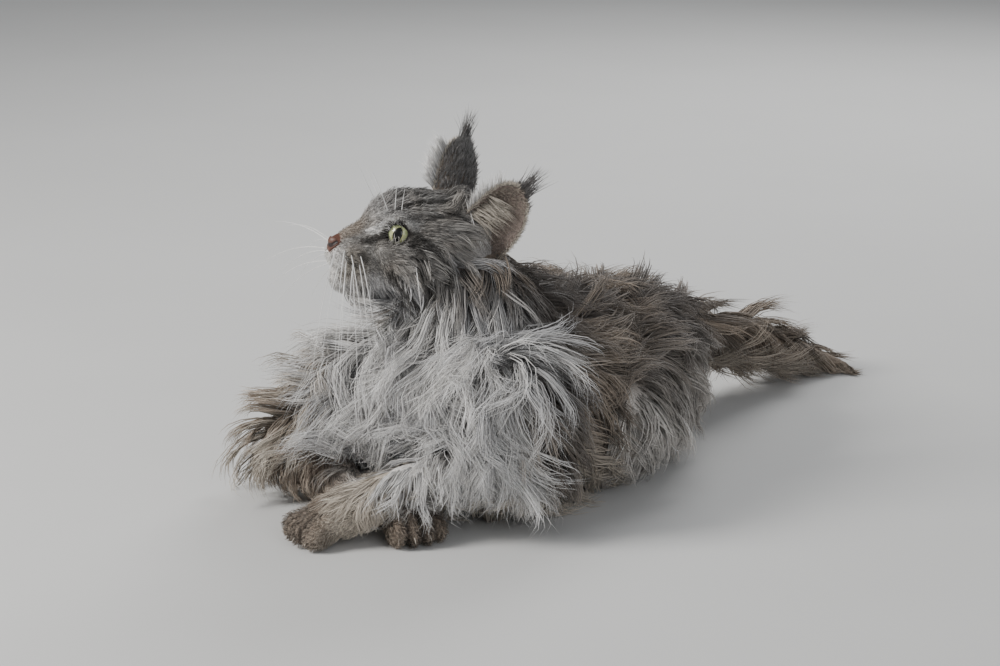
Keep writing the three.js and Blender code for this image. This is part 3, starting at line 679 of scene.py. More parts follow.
CHEEK_STRIPES = [
    on_face([[28, 36, 0], [22, 42, -16], [8, 42, -36], [-6, 44, -52]]),
    on_face([[42, 28, -25], [33, 35, -34], [19, 34, -48], [4, 34, -60]]),
    on_face([[25, 33, 6], [14, 40, -2], [2, 43, -12]]),
]
BROW = on_face([[58, 11, 4], [52, 15, 8], [47, 19, 13], [42, 23, 18]])
# The dark line from the eye's inner corner, widened into painted shade under the brow of the deep-set eye.
EYE_LINE_AND_SHADE = on_face([[44, 17, 5], [51, 16, 1], [57, 14, -2], [63, 12, -5]])
NOSTRIL = on_face(NOSTRIL)
REGIONS = [*LIMBS, "head"]
HEAD_ID = REGIONS.index("head")


def region_of(p):
    """Which limb, or the head, each place belongs to."""
    gaps = [limb.distance(p) for limb in BODY.values()]
    gaps.append(head_distance(to_head(p), SKIN["head_depth"]))
    return np.argmin(np.array(gaps), axis=0)


def within(region, start):
    """Which places lie in the parts whose names start so."""
    return np.array([name.startswith(start) for name in REGIONS])[region]


def bib_share(p, out):
    """How far a place lies in the ruff under the chin."""
    front = ramp(-p[:, 1], 18, 60) * ramp(0.45 - out[:, 1], 0, 0.5)
    across = ramp(p[:, 0], -108, -70) * ramp(-p[:, 0], -92, -66)
    below_jaw = np.maximum(ramp(-p[:, 2], -226, -196), ramp(-p[:, 0], 0, 24))
    return front * across * ramp(p[:, 2], 30, 62) * below_jaw


def layered(colour, *layers):
    """A colour under others, each given with its share."""
    for over, share in layers:
        colour = blend(colour, over, share)
    return colour


def mark(q, line, full, edge):
    """How far places lie on a line of marks: wholly up to one distance, and no more at the other."""
    return ramp(-near_line(q, line), -edge, -full)


def face_colour(p):
    """The colours of the head's fur at places in its own frame, with painted shade by the eyes."""
    q = folded(p)
    forward, left, up = q.T
    stripes = 0.5 + 0.5 * np.cos(p[:, 1] * 0.62 + 1.2 * noise(p, 16, 5))
    crown = ramp(up, 14, 22) * ramp(forward, -40, -10) * ramp(-forward, -52, -36)
    pale = np.maximum(ramp(-forward, -4, 22) * ramp(-up, -8, 18), ramp(-up, 24, 34))
    bridge = ramp(forward, 58, 66) * ramp(-left, -10, -6) * ramp(up, -12, -6)
    from_eye = np.linalg.norm(q - EYE["at"], axis=1)
    ring = ramp(from_eye, 13.5, 15.5) * ramp(-from_eye, -21, -17)
    below = ramp(-up, 8, 14)
    pad = ramp(forward, 58, 62) * ramp(-forward, -81, -77) * below * ramp(up, -32, -28)
    muzzle = np.maximum(ramp(forward, 77, 81) * below, ramp(forward, 50, 64) * ramp(-up, 35, 40))
    nose = ramp(-np.linalg.norm(q - NOSE["at"], axis=1), -9.6, -8.6) * ramp(forward, 79, 81)
    return layered(
        blend(Tone.grey * 1.15, Tone.beige * 0.9, 0.5 * noise(p, 14, 3)),
        (Tone.silver, 0.4 * ramp(forward, 22, 40) * ramp(up, 8, 20)),
        (Tone.dark, 0.95 * crown * ramp(stripes, 0.5, 0.75) * ramp(noise(p, 9, 6), 0.2, 0.45)),
        (Tone.silver, 0.8 * pale),
        *[(Tone.dark, 0.95 * mark(q, line, 3, 5.4)) for line in CHEEK_STRIPES],
        (Tone.beige * 0.9, 0.7 * bridge),
        (Tone.white, 0.55 * ring * np.maximum(ramp(up, 8, 14), ramp(-up, 2, 8))),
        (Tone.white, 0.95 * mark(q, BROW, 2.4, 4.2)),
        # Painted shade under the brow of the deep-set eye, over the dark line at its inner corner.
        (Tone.dark, 0.85 * mark(q, EYE_LINE_AND_SHADE, 2, 4.4)),
        (Tone.cream * 0.9, 0.7 * ramp(forward, 54, 66) * below),
        (Tone.dark, 0.8 * pad * ramp(noise(p, 3.4, 8), 0.5, 0.62)),
        (Tone.white, 0.9 * muzzle),
        (Tone.brick, nose),
        (Tone.dark, 0.8 * mark(q, MOUTH, 0.6, 1.6)),
        (Tone.liner, ramp(-from_eye, -15.0, -13.6)),
    )


def toe_gaps(p):
    """How far places lie between two toes."""
    gaps = np.zeros(len(p))
    toes = np.array(TOES["across"])
    for paw in map(Paw, PAWS):
        off = p - paw.centre
        ahead, across = off @ paw.along, off @ paw.side / (paw.wide * TOES["spread"])
        near = ramp(ahead, -8, 2) * (np.linalg.norm(off, axis=1) < 42)
        for middle in (toes[1:] + toes[:-1]) / 2:
            fanned = across - 0.2 * middle * ahead / paw.wide
            gaps = np.maximum(gaps, near * peak(fanned - middle, TOES["gap"]))
    return gaps


def coat_colour(p, region, out):
    """The markings at places on the body, with painted shade between the toes, the same for the skin and the
    fur.
    """
    x, y, z = p.T
    bands = 0.5 + 0.5 * np.sin(y / 9.5 + 5 * noise(p, 55, 2))
    thigh = within(region, "thigh") * (0.4 + 0.6 * ramp(noise(p, 26, 4), 0.25, 0.6)) * ramp(-z, -135, -80)
    sleeve = blend(Tone.beige, Tone.cream, ramp(noise(p, 20, 12), 0.3, 0.6))
    paw = within(region, ("forepaw", "hind_foot"))
    rings = ramp(np.sin(y / 8.5 + 1.5 * noise(p, 30, 7)), -0.2, 0.6)
    tail = blend(Tone.beige, Tone.brown * 0.6, 0.75 * rings)
    white = blend(Tone.silver * 0.9, Tone.white * 1.05, ramp(noise(p, 20, 9), 0.3, 0.6))
    colour = layered(
        blend(Tone.back, Tone.beige, ramp(noise(p, 42, 1), 0.35, 0.75)),
        (Tone.dark, 0.3 * bands * ramp(z, 60, 120)),
        (Tone.cream, 0.85 * ramp(-z, -95, -35) * within(region, "torso")),
        (blend(Tone.cream, Tone.silver, 0.5) * 1.2, thigh),
        (sleeve, 0.85 * within(region, "upper_arm_right")),
        (Tone.cream * 1.45, 0.9 * within(region, "forearm_left")),
        (Tone.beige, 0.8 * within(region, "forearm_right")),
        (blend(Tone.beige, Tone.brown, noise(p, 18, 6)), 0.9 * paw),
        (Tone.cream * 1.25, 0.8 * within(region, "forepaw_left") * ramp(x, -54, -34)),
        # Painted shade: dark in the gaps between the toes.
        (Tone.dark, 0.92 * toe_gaps(p)),
        (blend(tail, Tone.cream, 0.5 * ramp(-out[:, 2], 0, 0.8)), 0.9 * within(region, "tail")),
        (white, np.clip(bib_share(p, out) * 1.15, 0, 1) * ~paw),
    )
    head = region == HEAD_ID
    if head.any():
        colour[head] = face_colour(to_head(p[head]))
    return colour * (0.78 + 0.44 * noise(p, 9, 11))[:, None]


def atlas(p, region):
    """Where a place lies on the coat's map: each limb and the head has its own square."""
    squares, edge, dome = 4, 0.04, 40
    place = np.zeros((len(p), 2))
    for i, name in enumerate(REGIONS):
        here = region == i
        if not here.any():
            continue
        if name == "head":
            q = unit(to_head(p[here]) - HEART)
            lean, turn = np.arccos(np.clip(q[:, 0], -1, 1)) / math.pi, np.arctan2(q[:, 2], q[:, 1])
            place[here] = 0.5 + 0.5 * np.stack([lean * np.cos(turn), lean * np.sin(turn)], axis=1)
            continue
        limb = BODY[name]
        near = limb.nearest(p[here])
        m = {key: value[near] for key, value in limb.marks.items()}
        off = p[here] - m["centre"]
        past = (off * m["along"]).sum(axis=1)
        reach = np.linalg.norm(limb.marks["centre"][-1] - limb.marks["centre"][0])
        along = np.clip((near / 24 * reach + past + dome) / (reach + 2 * dome), 0, 1)
        angle = np.arctan2((off * m["top"]).sum(axis=1), (off * m["side"]).sum(axis=1))
        place[here] = np.stack([along, (angle / TURN) % 1], axis=1)
    corner = np.stack([region % squares, region // squares], axis=1)
    return (corner + edge + (1 - 2 * edge) * place) / squares


def store(layer, key, values):
    """Fills a mesh's layer with a value for each point or corner."""
    layer.data.foreach_set(key, values.astype(np.float32).ravel())


def paint(mesh, colour, uv):
    """Stores the markings with their painted shade, and the bake map, given per vertex."""
    rgba = np.concatenate([colour, np.ones((len(colour), 1))], axis=1)
    store(mesh.color_attributes.new("MarkingsAndShade", "FLOAT_COLOR", "POINT"), "color", rgba)
    corners = np.empty(len(mesh.loops), np.int32)
    mesh.loops.foreach_get("vertex_index", corners)
    store(mesh.uv_layers.new(name="OFBake"), "uv", uv[corners])


# The coat of each part: strands to the square centimetre, their length and width, how they lie
# along the part and fall, and how far those of a lock draw together.
COAT_COLUMNS = ["density", "length", "width", "lie", "fall", "draw"]
COATS = {
    "torso": [9.8, 54, 1.6, -1.0, 0.35, 0.5],
    "neck": [18.0, 42, 1.3, -1.0, 0.3, 0.55],
    "upper_arm_right": [16.0, 44, 1.35, 0.7, 0.9, 0.62],
    "upper_arm_left": [9.0, 46, 1.45, 0.5, 1.0, 0.62],
    "forearm_right": [20.0, 22, 1.2, 0.7, 0.5, 0.5],
    "forearm_left": [32.0, 18, 1.0, 0.7, 0.4, 0.5],
    "thigh_right": [5.0, 58, 1.9, -0.3, 0.8, 0.6],
    "thigh_left": [12.5, 56, 1.4, -0.3, 0.8, 0.6],
    "hind_foot_right": [6.0, 14, 1.6, 1.0, 0.1, 0.4],
    "hind_foot_left": [9.0, 14, 1.6, 1.0, 0.1, 0.4],
    "forepaw_right": [64.0, 7, 0.8, 1.0, 0.1, 0.3],
    "forepaw_left": [66.0, 5, 0.8, 1.0, 0.1, 0.3],
    "tail_base": [19.0, 80, 1.5, 1.0, 0.85, 0.42],
    "tail_middle": [19.0, 80, 1.5, 1.0, 0.8, 0.42],
    "tail_tip": [19.0, 46, 1.4, 1.0, 0.5, 0.45],
    "head": [62.0, 8, 0.8, 0.0, 0.1, 0.5],
}
# The bib parts at a line, x, and hangs to both sides of it.
BIB_COAT = {
    "density": 27, "length": 92, "width": 1.1, "fall": 1.1, "parting": -6, "wave": 0.06, "draw": 0.68,
}
# The longer fur of the cheeks and the jaw, with the least that it stands off.
RUFF_COAT = {"density": 27, "width": 0.95, "stand": 9}
# The coat's pieces and the parts they grow on. Each leaves out what those before it have, and the
# bib's piece has the strands of any part that belong to the bib by more than a share.
COAT_GROUPS = {
    "coat_head": "head", "coat_bib": "", "coat_tail": "tail", "coat_arms": ("upper_arm", "fore"),
    "coat_hind": ("thigh", "hind"), "coat_back": "",
}
BIB_FROM = 0.4
# The strands that make a lock, the steps of their paths and how they curl.
LOCKS = {"long": (20, 5, 0.9), "middling": (7, 3, 0.3), "short": (1, 2, 0.3)}
BIB_STEPS = 6
TAPER = [0.75, 1.0, 0.85, 0.6, 0.3]
LONG_FUR = 20
MIDDLING_FUR = 11
SINK = 1.2
FLOOR_CLEAR = 1.5
# The share of strands that keep out of the locks and cover the skin between them.
LOOSE = 0.3
# The share of strands that stand up from the rest.
FLYAWAY = 0.12
# How far strands differ: in the way they lie, and between two shares of their usual measures.
LIE_MESS = {"head": 0.22, "forearm": 0.3, "body": 0.14}
VARIED = {"length": (0.7, 1.15), "width": (0.7, 1.25), "stand": (0.45, 1.1)}
# How far a lock's strands part by their length, by their depth and in their waves' phase, and how many
# waves they make.
LOCK_MESS = {"loose": 0.055, "lift": 0.12, "phase": 0.5, "waves": 1.3}
# A strand: its ridge by its half width, the painted shade at its root, where the coat is deepest, that grows
# paler to its tip, how its tone and its twist differ from the others', and its size on the map.
STRAND = {"ridge": 0.7, "shade": 0.62, "paler": 0.5, "tint": 0.2, "twist": 0.5, "patch": 0.003}
# How far from the eyes, the lips, the nose and the floor the fur starts.
BARE = {"eye": 13.6, "lips": 0.7, "nose": 8.4, "floor": 3}
# How far past the solids' box a strand may reach on each axis.
STRAY = np.array([14, 25, 14])
MOST_TRIANGLES = 190000


class Fur:
    """Values for each strand as arrays: its root, the way out there, how it lies and so on."""

    def __init__(self, **values):
        self.__dict__.update(values)

    def __len__(self):
        return len(self.root)

    def __getitem__(self, chosen):
        return Fur(**{key: value[chosen] for key, value in vars(self).items()})


def mesh_triangles(mesh):
    mesh.calc_loop_triangles()
    corners = np.empty(len(mesh.loop_triangles) * 3, np.int32)
    mesh.loop_triangles.foreach_get("vertices", corners)
    return corners.reshape(-1, 3)


class Surface:
    """The skin as triangles to root the coat in, and as a tree that finds its nearest place."""

    def __init__(self, mesh):
        points, faces = places(mesh), mesh_triangles(mesh)
        self.tree = BVHTree.FromPolygons(points.tolist(), faces.tolist())
        self.corners = points[faces]
        self.middle = self.corners.mean(axis=1)
        a, b, c = self.corners.transpose(1, 0, 2)
        cross = np.cross(b - a, c - a)
        self.out = unit(cross)
        # Half the cross product's length, in square centimetres.
        self.area = np.linalg.norm(cross, axis=1) / 200

    def scatter(self, density, share, random):
        """Roots, and the ways out there, spread by a density for each face."""
        weight = self.area * density
        count = int(weight.sum() * share)
        pick = random.choice(len(weight), count, p=weight / weight.sum())
        s, t = np.sqrt(random.random(count)), random.random(count)
        a, b, c = self.corners[pick].transpose(1, 0, 2)
        p = a * (1 - s)[:, None] + b * (s * (1 - t))[:, None] + c * (s * t)[:, None]
        return p, self.out[pick]

    def nearest(self, p, close=1.5):
        """The way out of the skin at places and their height, taken straight to those not close."""
        hits = [self.tree.find_nearest(Vector(q)) for q in p]
        foot = np.array([hit[0] for hit in hits])
        out = np.array([hit[1] for hit in hits])
        off = p - foot
        height = (off * out).sum(axis=1)
        away = (np.linalg.norm(off, axis=1) > close) & (height > 0)
        return np.where(away[:, None], unit(off), out), np.where(away, np.linalg.norm(off, axis=1), height)


def lay(surface, fur, steps):
    """Paths that leave the skin, lie along it and stand off it more and more."""
    at, out, way = fur.root, fur.out, fur.lie
    path = [at]
    for i in range(1, steps + 1):
        way = unit(way - UP * (fur.fall / steps)[:, None])
        inward = np.minimum((way * out).sum(axis=1), 0.25)
        way = unit(way - out * inward[:, None] + np.cross(out, way) * (fur.curl / steps)[:, None])
        at = at + way * (fur.length / steps)[:, None]
        out, height = surface.nearest(at)
        goal = fur.stand * math.sin(math.pi / 2 * min(1, 1.25 * i / steps))
        lift = np.where(height < goal, goal - height, 0.35 * np.minimum(0, goal * 1.2 - height))
        at = at + out * lift[:, None]
        at[:, 2] = np.maximum(at[:, 2], FLOOR_CLEAR)
        path.append(at)
    return np.stack(path, axis=1)


def strand_faces(rings):
    """The triangles of one strand: three sides between its rings, its foot and its tip."""
    last = 3 * (rings - 1)
    tip = [[last + k, last + (k + 1) % 3, 3 * rings] for k in range(3)]
    sides = []
    for i in range(rings - 1):
        for k in range(3):
            a, b = 3 * i + k, 3 * i + (k + 1) % 3
            sides += [[a, b, b + 3], [a, b + 3, a + 3]]
    return np.array([[0, 2, 1], *sides, *tip])


def strands(name, path, fur, random):
    """Tapered three-sided strands along the paths, in pieces of limited size."""
    count, rings = len(path), path.shape[1] - 1
    way = unit(path[:, 1:] - path[:, :-1])
    side = unit(np.cross(path[:, -1] - path[:, 0], fur.out))
    turn = random.normal(0, STRAND["twist"], (count, 1))
    side = unit(side * np.cos(turn) + fur.out * np.sin(turn))
    flat = unit(np.cross(side[:, None], way))
    taper = np.interp(np.arange(rings) / rings, np.linspace(0, 0.8, len(TAPER)), TAPER)
    half = (fur.width[:, None] * taper / 2)[..., None]
    foot = path[:, :-1]
    ridge = foot + flat * (half * STRAND["ridge"])
    sections = [foot - side[:, None] * half, ridge, foot + side[:, None] * half]
    points = np.concatenate([np.stack(sections, axis=2).reshape(count, rings * 3, 3), path[:, -1:]], axis=1)
    one = strand_faces(rings)
    share = np.concatenate([np.repeat(np.arange(rings) / rings, 3), [1.0]])
    # Painted shade: each strand is darker at its root, deep in the coat, and paler towards its tip.
    shade = (STRAND["shade"] + STRAND["paler"] * share)[None, :, None]
    tint = random.lognormal(0, STRAND["tint"], (count, 1, 1))
    colours = np.clip(fur.colour[:, None] * shade * tint, 0, 1)
    spread = np.stack([np.concatenate([np.tile([-0.5, 0, 0.5], rings), [0]]), share - 0.5], axis=1)
    maps = fur.uv[:, None] + (spread * STRAND["patch"])[None]
    pieces = []
    for part, start in enumerate(range(0, count, MOST_TRIANGLES // len(one))):
        chosen = slice(start, start + MOST_TRIANGLES // len(one))
        p = points[chosen]
        faces = (one[None] + (np.arange(len(p)) * points.shape[1])[:, None, None]).reshape(-1, 3)
        mesh = fast_mesh(f"{name}_{part + 1}", p.reshape(-1, 3), faces)
        paint(mesh, colours[chosen].reshape(-1, 3), maps[chosen].reshape(-1, 2))
        pieces.append(place_object(f"{name}_{part + 1}", mesh))
    return pieces


def head_sizes(q):
    """The length of the head's fur: shortest on the nose, long over the jaw and behind the cheeks."""
    forward, up = q[:, 0], q[:, 2]
    from_nose = np.linalg.norm(q - [88, 0, -12], axis=1)
    length = 3.2 + 7.5 * ramp(from_nose, 14, 62) + 9 * ramp(-forward, -16, 26)
    cheek = ramp(-forward, -46, -4) * ramp(-up, -10, 12)
    ruff = ramp(-forward, -22, 6) * ramp(-up, -8, 12)
    jaw = ramp(-up, 31, 41) * ramp(-forward, -80, -56)
    length = length + 10 * cheek + 28 * np.clip(ruff + jaw, 0, 1) + 12 * jaw
    return length * (0.4 + 0.6 * ramp(np.linalg.norm(folded(q) - EYE["at"], axis=1), 14, 26))


def head_lie(q):
    """The way the head's fur lies, in its own frame: back from the nose, and down over the cheeks."""
    forward, up = q[:, 0], q[:, 2]
    way = unit(q - [96, 0, -6])
    down = 0.9 * ramp(-up, 18, 36) + 0.55 * ramp(-forward, -44, -6) * ramp(-up, -16, 8)
    way[:, 2] -= down
    return unit(way)


def hidden(p, out, region):
    """Where no fur grows: eyes, ears, lips, nose, and under the body."""
    q = to_head(p)
    bare = np.linalg.norm(folded(q) - EYE["at"], axis=1) < BARE["eye"]
    bare |= (head_distance(q, SKIN["head_depth"]) > 2.2) & (q[:, 0] < 2) & (q[:, 2] > -8)
    bare |= near_line(folded(q), MOUTH) < BARE["lips"]
    bare |= (np.linalg.norm(q - NOSE["at"], axis=1) < BARE["nose"]) & (q[:, 0] > 80)
    under = (p[:, 2] < BARE["floor"]) | ((out[:, 2] < -0.75) & (p[:, 2] < 26))
    return (bare & (region == HEAD_ID)) | under


def near_box(paths):
    """Which paths stay close to the solids' box."""
    low, high = np.array(CAD_BOX) / MM
    return ((paths > low - STRAY) & (paths < high + STRAY)).all(axis=(1, 2))


def coat_sizes(region):
    """The columns of the coat's table at places."""
    table = np.array([COATS[name] for name in REGIONS])[region]
    return dict(zip(COAT_COLUMNS, table.T))


def to_bib(value, key, bib):
    """A value of the coat that changes to the bib's own one."""
    return value * (1 - bib) + BIB_COAT[key] * bib


def coat_density(surface):
    """Strands to the square centimetre on each face of the skin."""
    region = region_of(surface.middle)
    bib = bib_share(surface.middle, surface.out) * (region != HEAD_ID)
    density = to_bib(coat_sizes(region)["density"], "density", bib)
    ruff = (region == HEAD_ID) & (head_sizes(to_head(surface.middle)) > LONG_FUR)
    density = np.where(ruff, RUFF_COAT["density"], density)
    density[hidden(surface.middle, surface.out, region)] = 0
    return density * (1 - 0.85 * toe_gaps(surface.middle))


def coat_lie(root, out, region, size, bib, throat, random):
    """The way each strand of the coat leaves its root."""
    head = region == HEAD_ID
    along = np.zeros((len(root), 3))
    for i, name in enumerate(REGIONS[:-1]):
        here = region == i
        along[here] = BODY[name].marks["along"][BODY[name].nearest(root[here])]
    lie = along * size["lie"][:, None] - UP * size["fall"][:, None]
    lie[head] = head_lie(to_head(root[head])) @ HEAD_TURN.T
    across = np.clip((root[:, 0] - BIB_COAT["parting"]) / 70, -0.85, 0.5)
    ahead = -0.3 - 0.5 * ramp(root[:, 2], 130, 190)
    lie = blend(lie, np.stack([across, ahead, np.full(len(root), -1.0)], 1), bib)
    mess = np.where(within(region, "forearm"), LIE_MESS["forearm"], LIE_MESS["body"])
    mess = np.where(head, LIE_MESS["head"], mess)
    lie += random.normal(0, 1, lie.shape) * mess[:, None]
    return unit(unit(lie - out * (lie * out).sum(axis=1, keepdims=True)) + out * (0.75 * throat)[:, None])


def coat_depth(root, region):
    """How far the coat stands off the flesh at its roots."""
    head = region == HEAD_ID
    depth = np.zeros(len(root))
    for i, name in enumerate(REGIONS[:-1]):
        here = region == i
        depth[here] = BODY[name].marks["coat"][BODY[name].nearest(root[here])]
    depth[head] = -head_distance(to_head(root[head]), 1.0)
    return depth


def sow_coat(surface, share, random):
    """Every strand of the body and the head, not yet laid."""
    root, out = surface.scatter(coat_density(surface), share, random)
    count = len(root)
    region = region_of(root)
    size = coat_sizes(region)
    head = region == HEAD_ID
    bib = bib_share(root, out) * ~head
    q = to_head(root)
    length = np.where(head, head_sizes(q), to_bib(size["length"], "length", bib))
    length = np.where(bib > 0.2, np.minimum(length, np.maximum(24, 0.92 * root[:, 2] - 4)), length)
    length *= random.uniform(*VARIED["length"], count)
    long = length > LONG_FUR * 0.85
    ruff, face = head & long, head & ~long
    width = np.where(ruff, RUFF_COAT["width"], to_bib(size["width"], "width", bib))
    width *= random.uniform(*VARIED["width"], count)
    throat = bib * ramp(root[:, 2], 140, 180) * ramp(-root[:, 1], 40, 75)
    lie = coat_lie(root, out, region, size, bib, throat, random)
    stand = np.maximum(0.8, coat_depth(root, region) * np.where(face, 0.85, 0.92))
    stand = np.where(ruff, np.maximum(stand, RUFF_COAT["stand"]), stand * (1 + 0.2 * bib + 0.45 * throat))
    crown = ramp(-q[:, 0], -24, 4) * ramp(q[:, 2], 8, 22)
    forehead = ramp(q[:, 0], 14, 30) * ramp(q[:, 2], 16, 26)
    stand *= 1 - 0.3 * within(region, "tail") * ramp(out[:, 2], 0.1, 0.6)
    stand *= random.uniform(*VARIED["stand"], count) * np.where(face, 1.35 - 0.8 * crown + 0.9 * forehead, 1)
    stand *= np.where(random.random(count) < FLYAWAY, 1.5, 1)
    draw = to_bib(size["draw"], "draw", bib)
    draw *= np.where(random.random(count) < LOOSE, 0.15, 1)
    wave = length * (0.025 + BIB_COAT["wave"] * bib) * long * (1 - 0.6 * head)
    return Fur(
        root=root, out=out, region=region, bib=bib, long=long, length=length, width=width, lie=lie,
        fall=np.where(head, 0.1 + 0.9 * long, to_bib(size["fall"] * 0.9, "fall", bib)), stand=stand,
        draw=draw, wave=wave, colour=coat_colour(root, region, out), uv=atlas(root, region),
    )


def grow_coat(surface, share, seed):
    """The pieces of the coat of the body and the head."""
    random = np.random.default_rng(seed)
    coat = sow_coat(surface, share, random)
    middling = ~coat.long & (coat.length > MIDDLING_FUR)
    kinds = {"long": coat.long, "middling": middling, "short": ~coat.long & ~middling}
    taken = np.zeros(len(coat), bool)
    pieces = []
    for name, parts in COAT_GROUPS.items():
        chosen = ~taken & (coat.bib > BIB_FROM if name == "coat_bib" else within(coat.region, parts))
        taken |= chosen
        for kind, (per_lock, steps, curl) in LOCKS.items():
            fur = coat[np.flatnonzero(chosen & kinds[kind])]
            if len(fur) < 4:
                continue
            tidy = within(fur.region, "head") | (within(fur.region, "neck") & (fur.bib < BIB_FROM))
            fur.curl = random.normal(0, curl, len(fur)) * np.where(tidy, 0.5, 1)
            steps = BIB_STEPS if (name, kind) == ("coat_bib", "long") else steps
            paths = lock_paths(surface, fur, per_lock, steps, random)
            kept = near_box(paths)
            pieces += strands(f"{name}_{kind}", paths[kept], fur[kept], random)
    return pieces


def lock_paths(surface, fur, per_lock, steps, random):
    """The strands' paths: those of a lock follow its first one and draw together to its tip."""
    sunk = fur.root - fur.out * SINK
    if per_lock == 1:
        paths = lay(surface, fur, steps)
        paths[:, 0] = sunk
        return paths
    first = fur[::per_lock]
    laid = lay(surface, first, steps)
    tree = KDTree(len(first))
    for i, root in enumerate(first.root):
        tree.insert(root, i)
    tree.balance()
    lock = np.array([tree.find(root)[1] for root in fur.root])
    length, stand, draw, wave = (a[:, None, None] for a in (fur.length, fur.stand, fur.draw, fur.wave))
    share = np.linspace(0, 1, steps + 1)[None, :, None]
    stretch = (length / first.length[lock][:, None, None]) ** 0.5
    base, offset = laid[lock][:, :1], (fur.root - first.root[lock])[:, None]
    paths = base + (laid[lock] - base) * stretch + offset * (1 - draw * share**1.3)
    loose = random.normal(0, 1, (len(fur), 1, 3)) * share**2 * length * LOCK_MESS["loose"]
    lift = fur.out[:, None] * random.normal(0, LOCK_MESS["lift"], (len(fur), 1, 1)) * share * stand
    phase = random.uniform(0, TURN, len(first))[lock][:, None, None]
    phase = phase + random.normal(0, LOCK_MESS["phase"], (len(fur), 1, 1))
    aside = unit(np.cross(fur.out, fur.lie))[:, None]
    bend = aside * np.sin(phase + LOCK_MESS["waves"] * TURN * share) * share * wave
    paths = paths + loose + lift + bend
    paths[:, 0] = sunk
    paths[:, :, 2] = np.maximum(paths[:, :, 2], FLOOR_CLEAR)
    return paths


# The fur of an ear: strands, [from, to] up the ear and across it, length, width, how they lie up the
# ear, across it and off it, and their colour.
EAR_FUR = {
    "back": [1900, [-0.12, 0.98], [-0.99, 0.99], 9, 0.85, [1.0, 0.0, -0.12], Tone.slate],
    "rim": [700, [0.02, 0.97], [-1.0, -0.93], 6, 0.7, [0.7, -0.3, 0.15], Tone.cream],
    "far_rim": [500, [0.02, 0.97], [0.93, 1.0], 5, 0.7, [0.7, 0.3, 0.1], Tone.cream],
    "inside": [1800, [-0.1, 0.96], [-0.94, 0.94], 6, 0.7, [0.7, 0.6, 0.16], Tone.taupe],
    "lining": [200, [0.0, 0.5], [-0.97, -0.4], 27, 0.6, [0.62, 0.75, 0.3], Tone.cream],
    "fringe": [420, [0.05, 0.75], [-1.0, -0.94], 19, 0.8, [0.6, -0.75, 0.3], Tone.white],
    "tuft": [90, [0.9, 1.0], [-0.9, 0.6], 30, 0.7, [1.0, 0.0, 0.0], Tone.slate],
    "wisps": [150, [-0.12, 0.08], [-1.0, -0.4], 24, 0.9, [-0.1, 0.75, 0.4], Tone.white],
}
# The left ear turns its fringe away, so it has only a share of it.
LEFT_FRINGE = 0.25


def ear_fur(name, share, seed):
    """The short fur, the lining and the tip's tuft of one ear."""
    random = np.random.default_rng(seed + len(name))
    ear = EAR[name]
    every = {}
    for kind, (count, ups, acrosses, length, width, way, tone) in EAR_FUR.items():
        count = max(8, int(count * share * (LEFT_FRINGE if (kind, name) == ("fringe", "ear_left") else 1)))
        up, across = random.uniform(*ups, count), random.uniform(*acrosses, count)
        front = -1 if kind == "back" else 1
        root = ear.place(up, across, front * EAR_THICK / 2)
        lie = ear.axis * way[0] + ear.chord * way[1] + ear.facing * way[2]
        lie = unit(lie + random.normal(0, 0.12 if length > 9 else 0.22, (count, 3)))[:, None]
        size = length * random.uniform(0.6, 1.15, count) * (1 - 0.35 * np.clip(up, 0, 1) * (kind == "lining"))
        size = size[:, None, None]
        s = np.linspace(0, 1, 5 if length > 9 else 3)[None, :, None]
        droop = ear.chord * (0.2 if kind in ("lining", "wisps") else 0)
        path = root[:, None] + lie * size * s + droop * size * s**2
        path = path + random.normal(0, 1, (count, 1, 3)) * size * 0.09 * s**2
        path[:, 0] -= ear.facing * front * 0.6
        tone = np.tile(tone, (count, 1))
        if kind == "back":
            tone = blend(tone, Tone.grey, 0.6 * noise(root, 12, 2))
        fur = Fur(
            root=root, out=np.tile(HEAD_TURN @ (ear.facing * front), (count, 1)), colour=tone,
            width=np.full(count, width), uv=atlas(from_head(root), np.full(count, HEAD_ID)),
        )
        every[kind] = from_head(path), fur
    pieces = []
    for kind, (path, fur) in every.items():
        pieces += strands(f"{name}_{kind}", path, fur, random)
    return pieces


def eye_ball(side):
    """An eyeball whose Gaze holds places across, up and along its look."""
    way, across, top = eye_axes(side, EYE["iris"])
    top = unit(top - across * EYE["lean"] * np.sign(across[0]))
    across = unit(across - top * (across @ top))
    radius = EYE["radius"]
    lean = np.concatenate([np.linspace(0, 1.1, 40)[1:], np.linspace(1.1, math.pi, 16)[1:-1]])[:, None]
    ahead, right, up = ball_grid(lean, 64)
    axes = np.stack([across, top, way])
    rings = (np.stack([right, up, ahead], axis=2) * radius) @ axes + eye_centre(side)
    points, faces = shell(from_head(rings), from_head(eye_centre(side) + np.stack([way, -way]) * radius))
    mesh = fast_mesh("eye", points, facing_out(points, faces))
    gaze = (to_head(points) - eye_centre(side)) @ axes.T / radius
    store(mesh.attributes.new("Gaze", "FLOAT_VECTOR", "POINT"), "vector", gaze)
    return place_object("eye_left_ball" if side > 0 else "eye_right_ball", mesh)


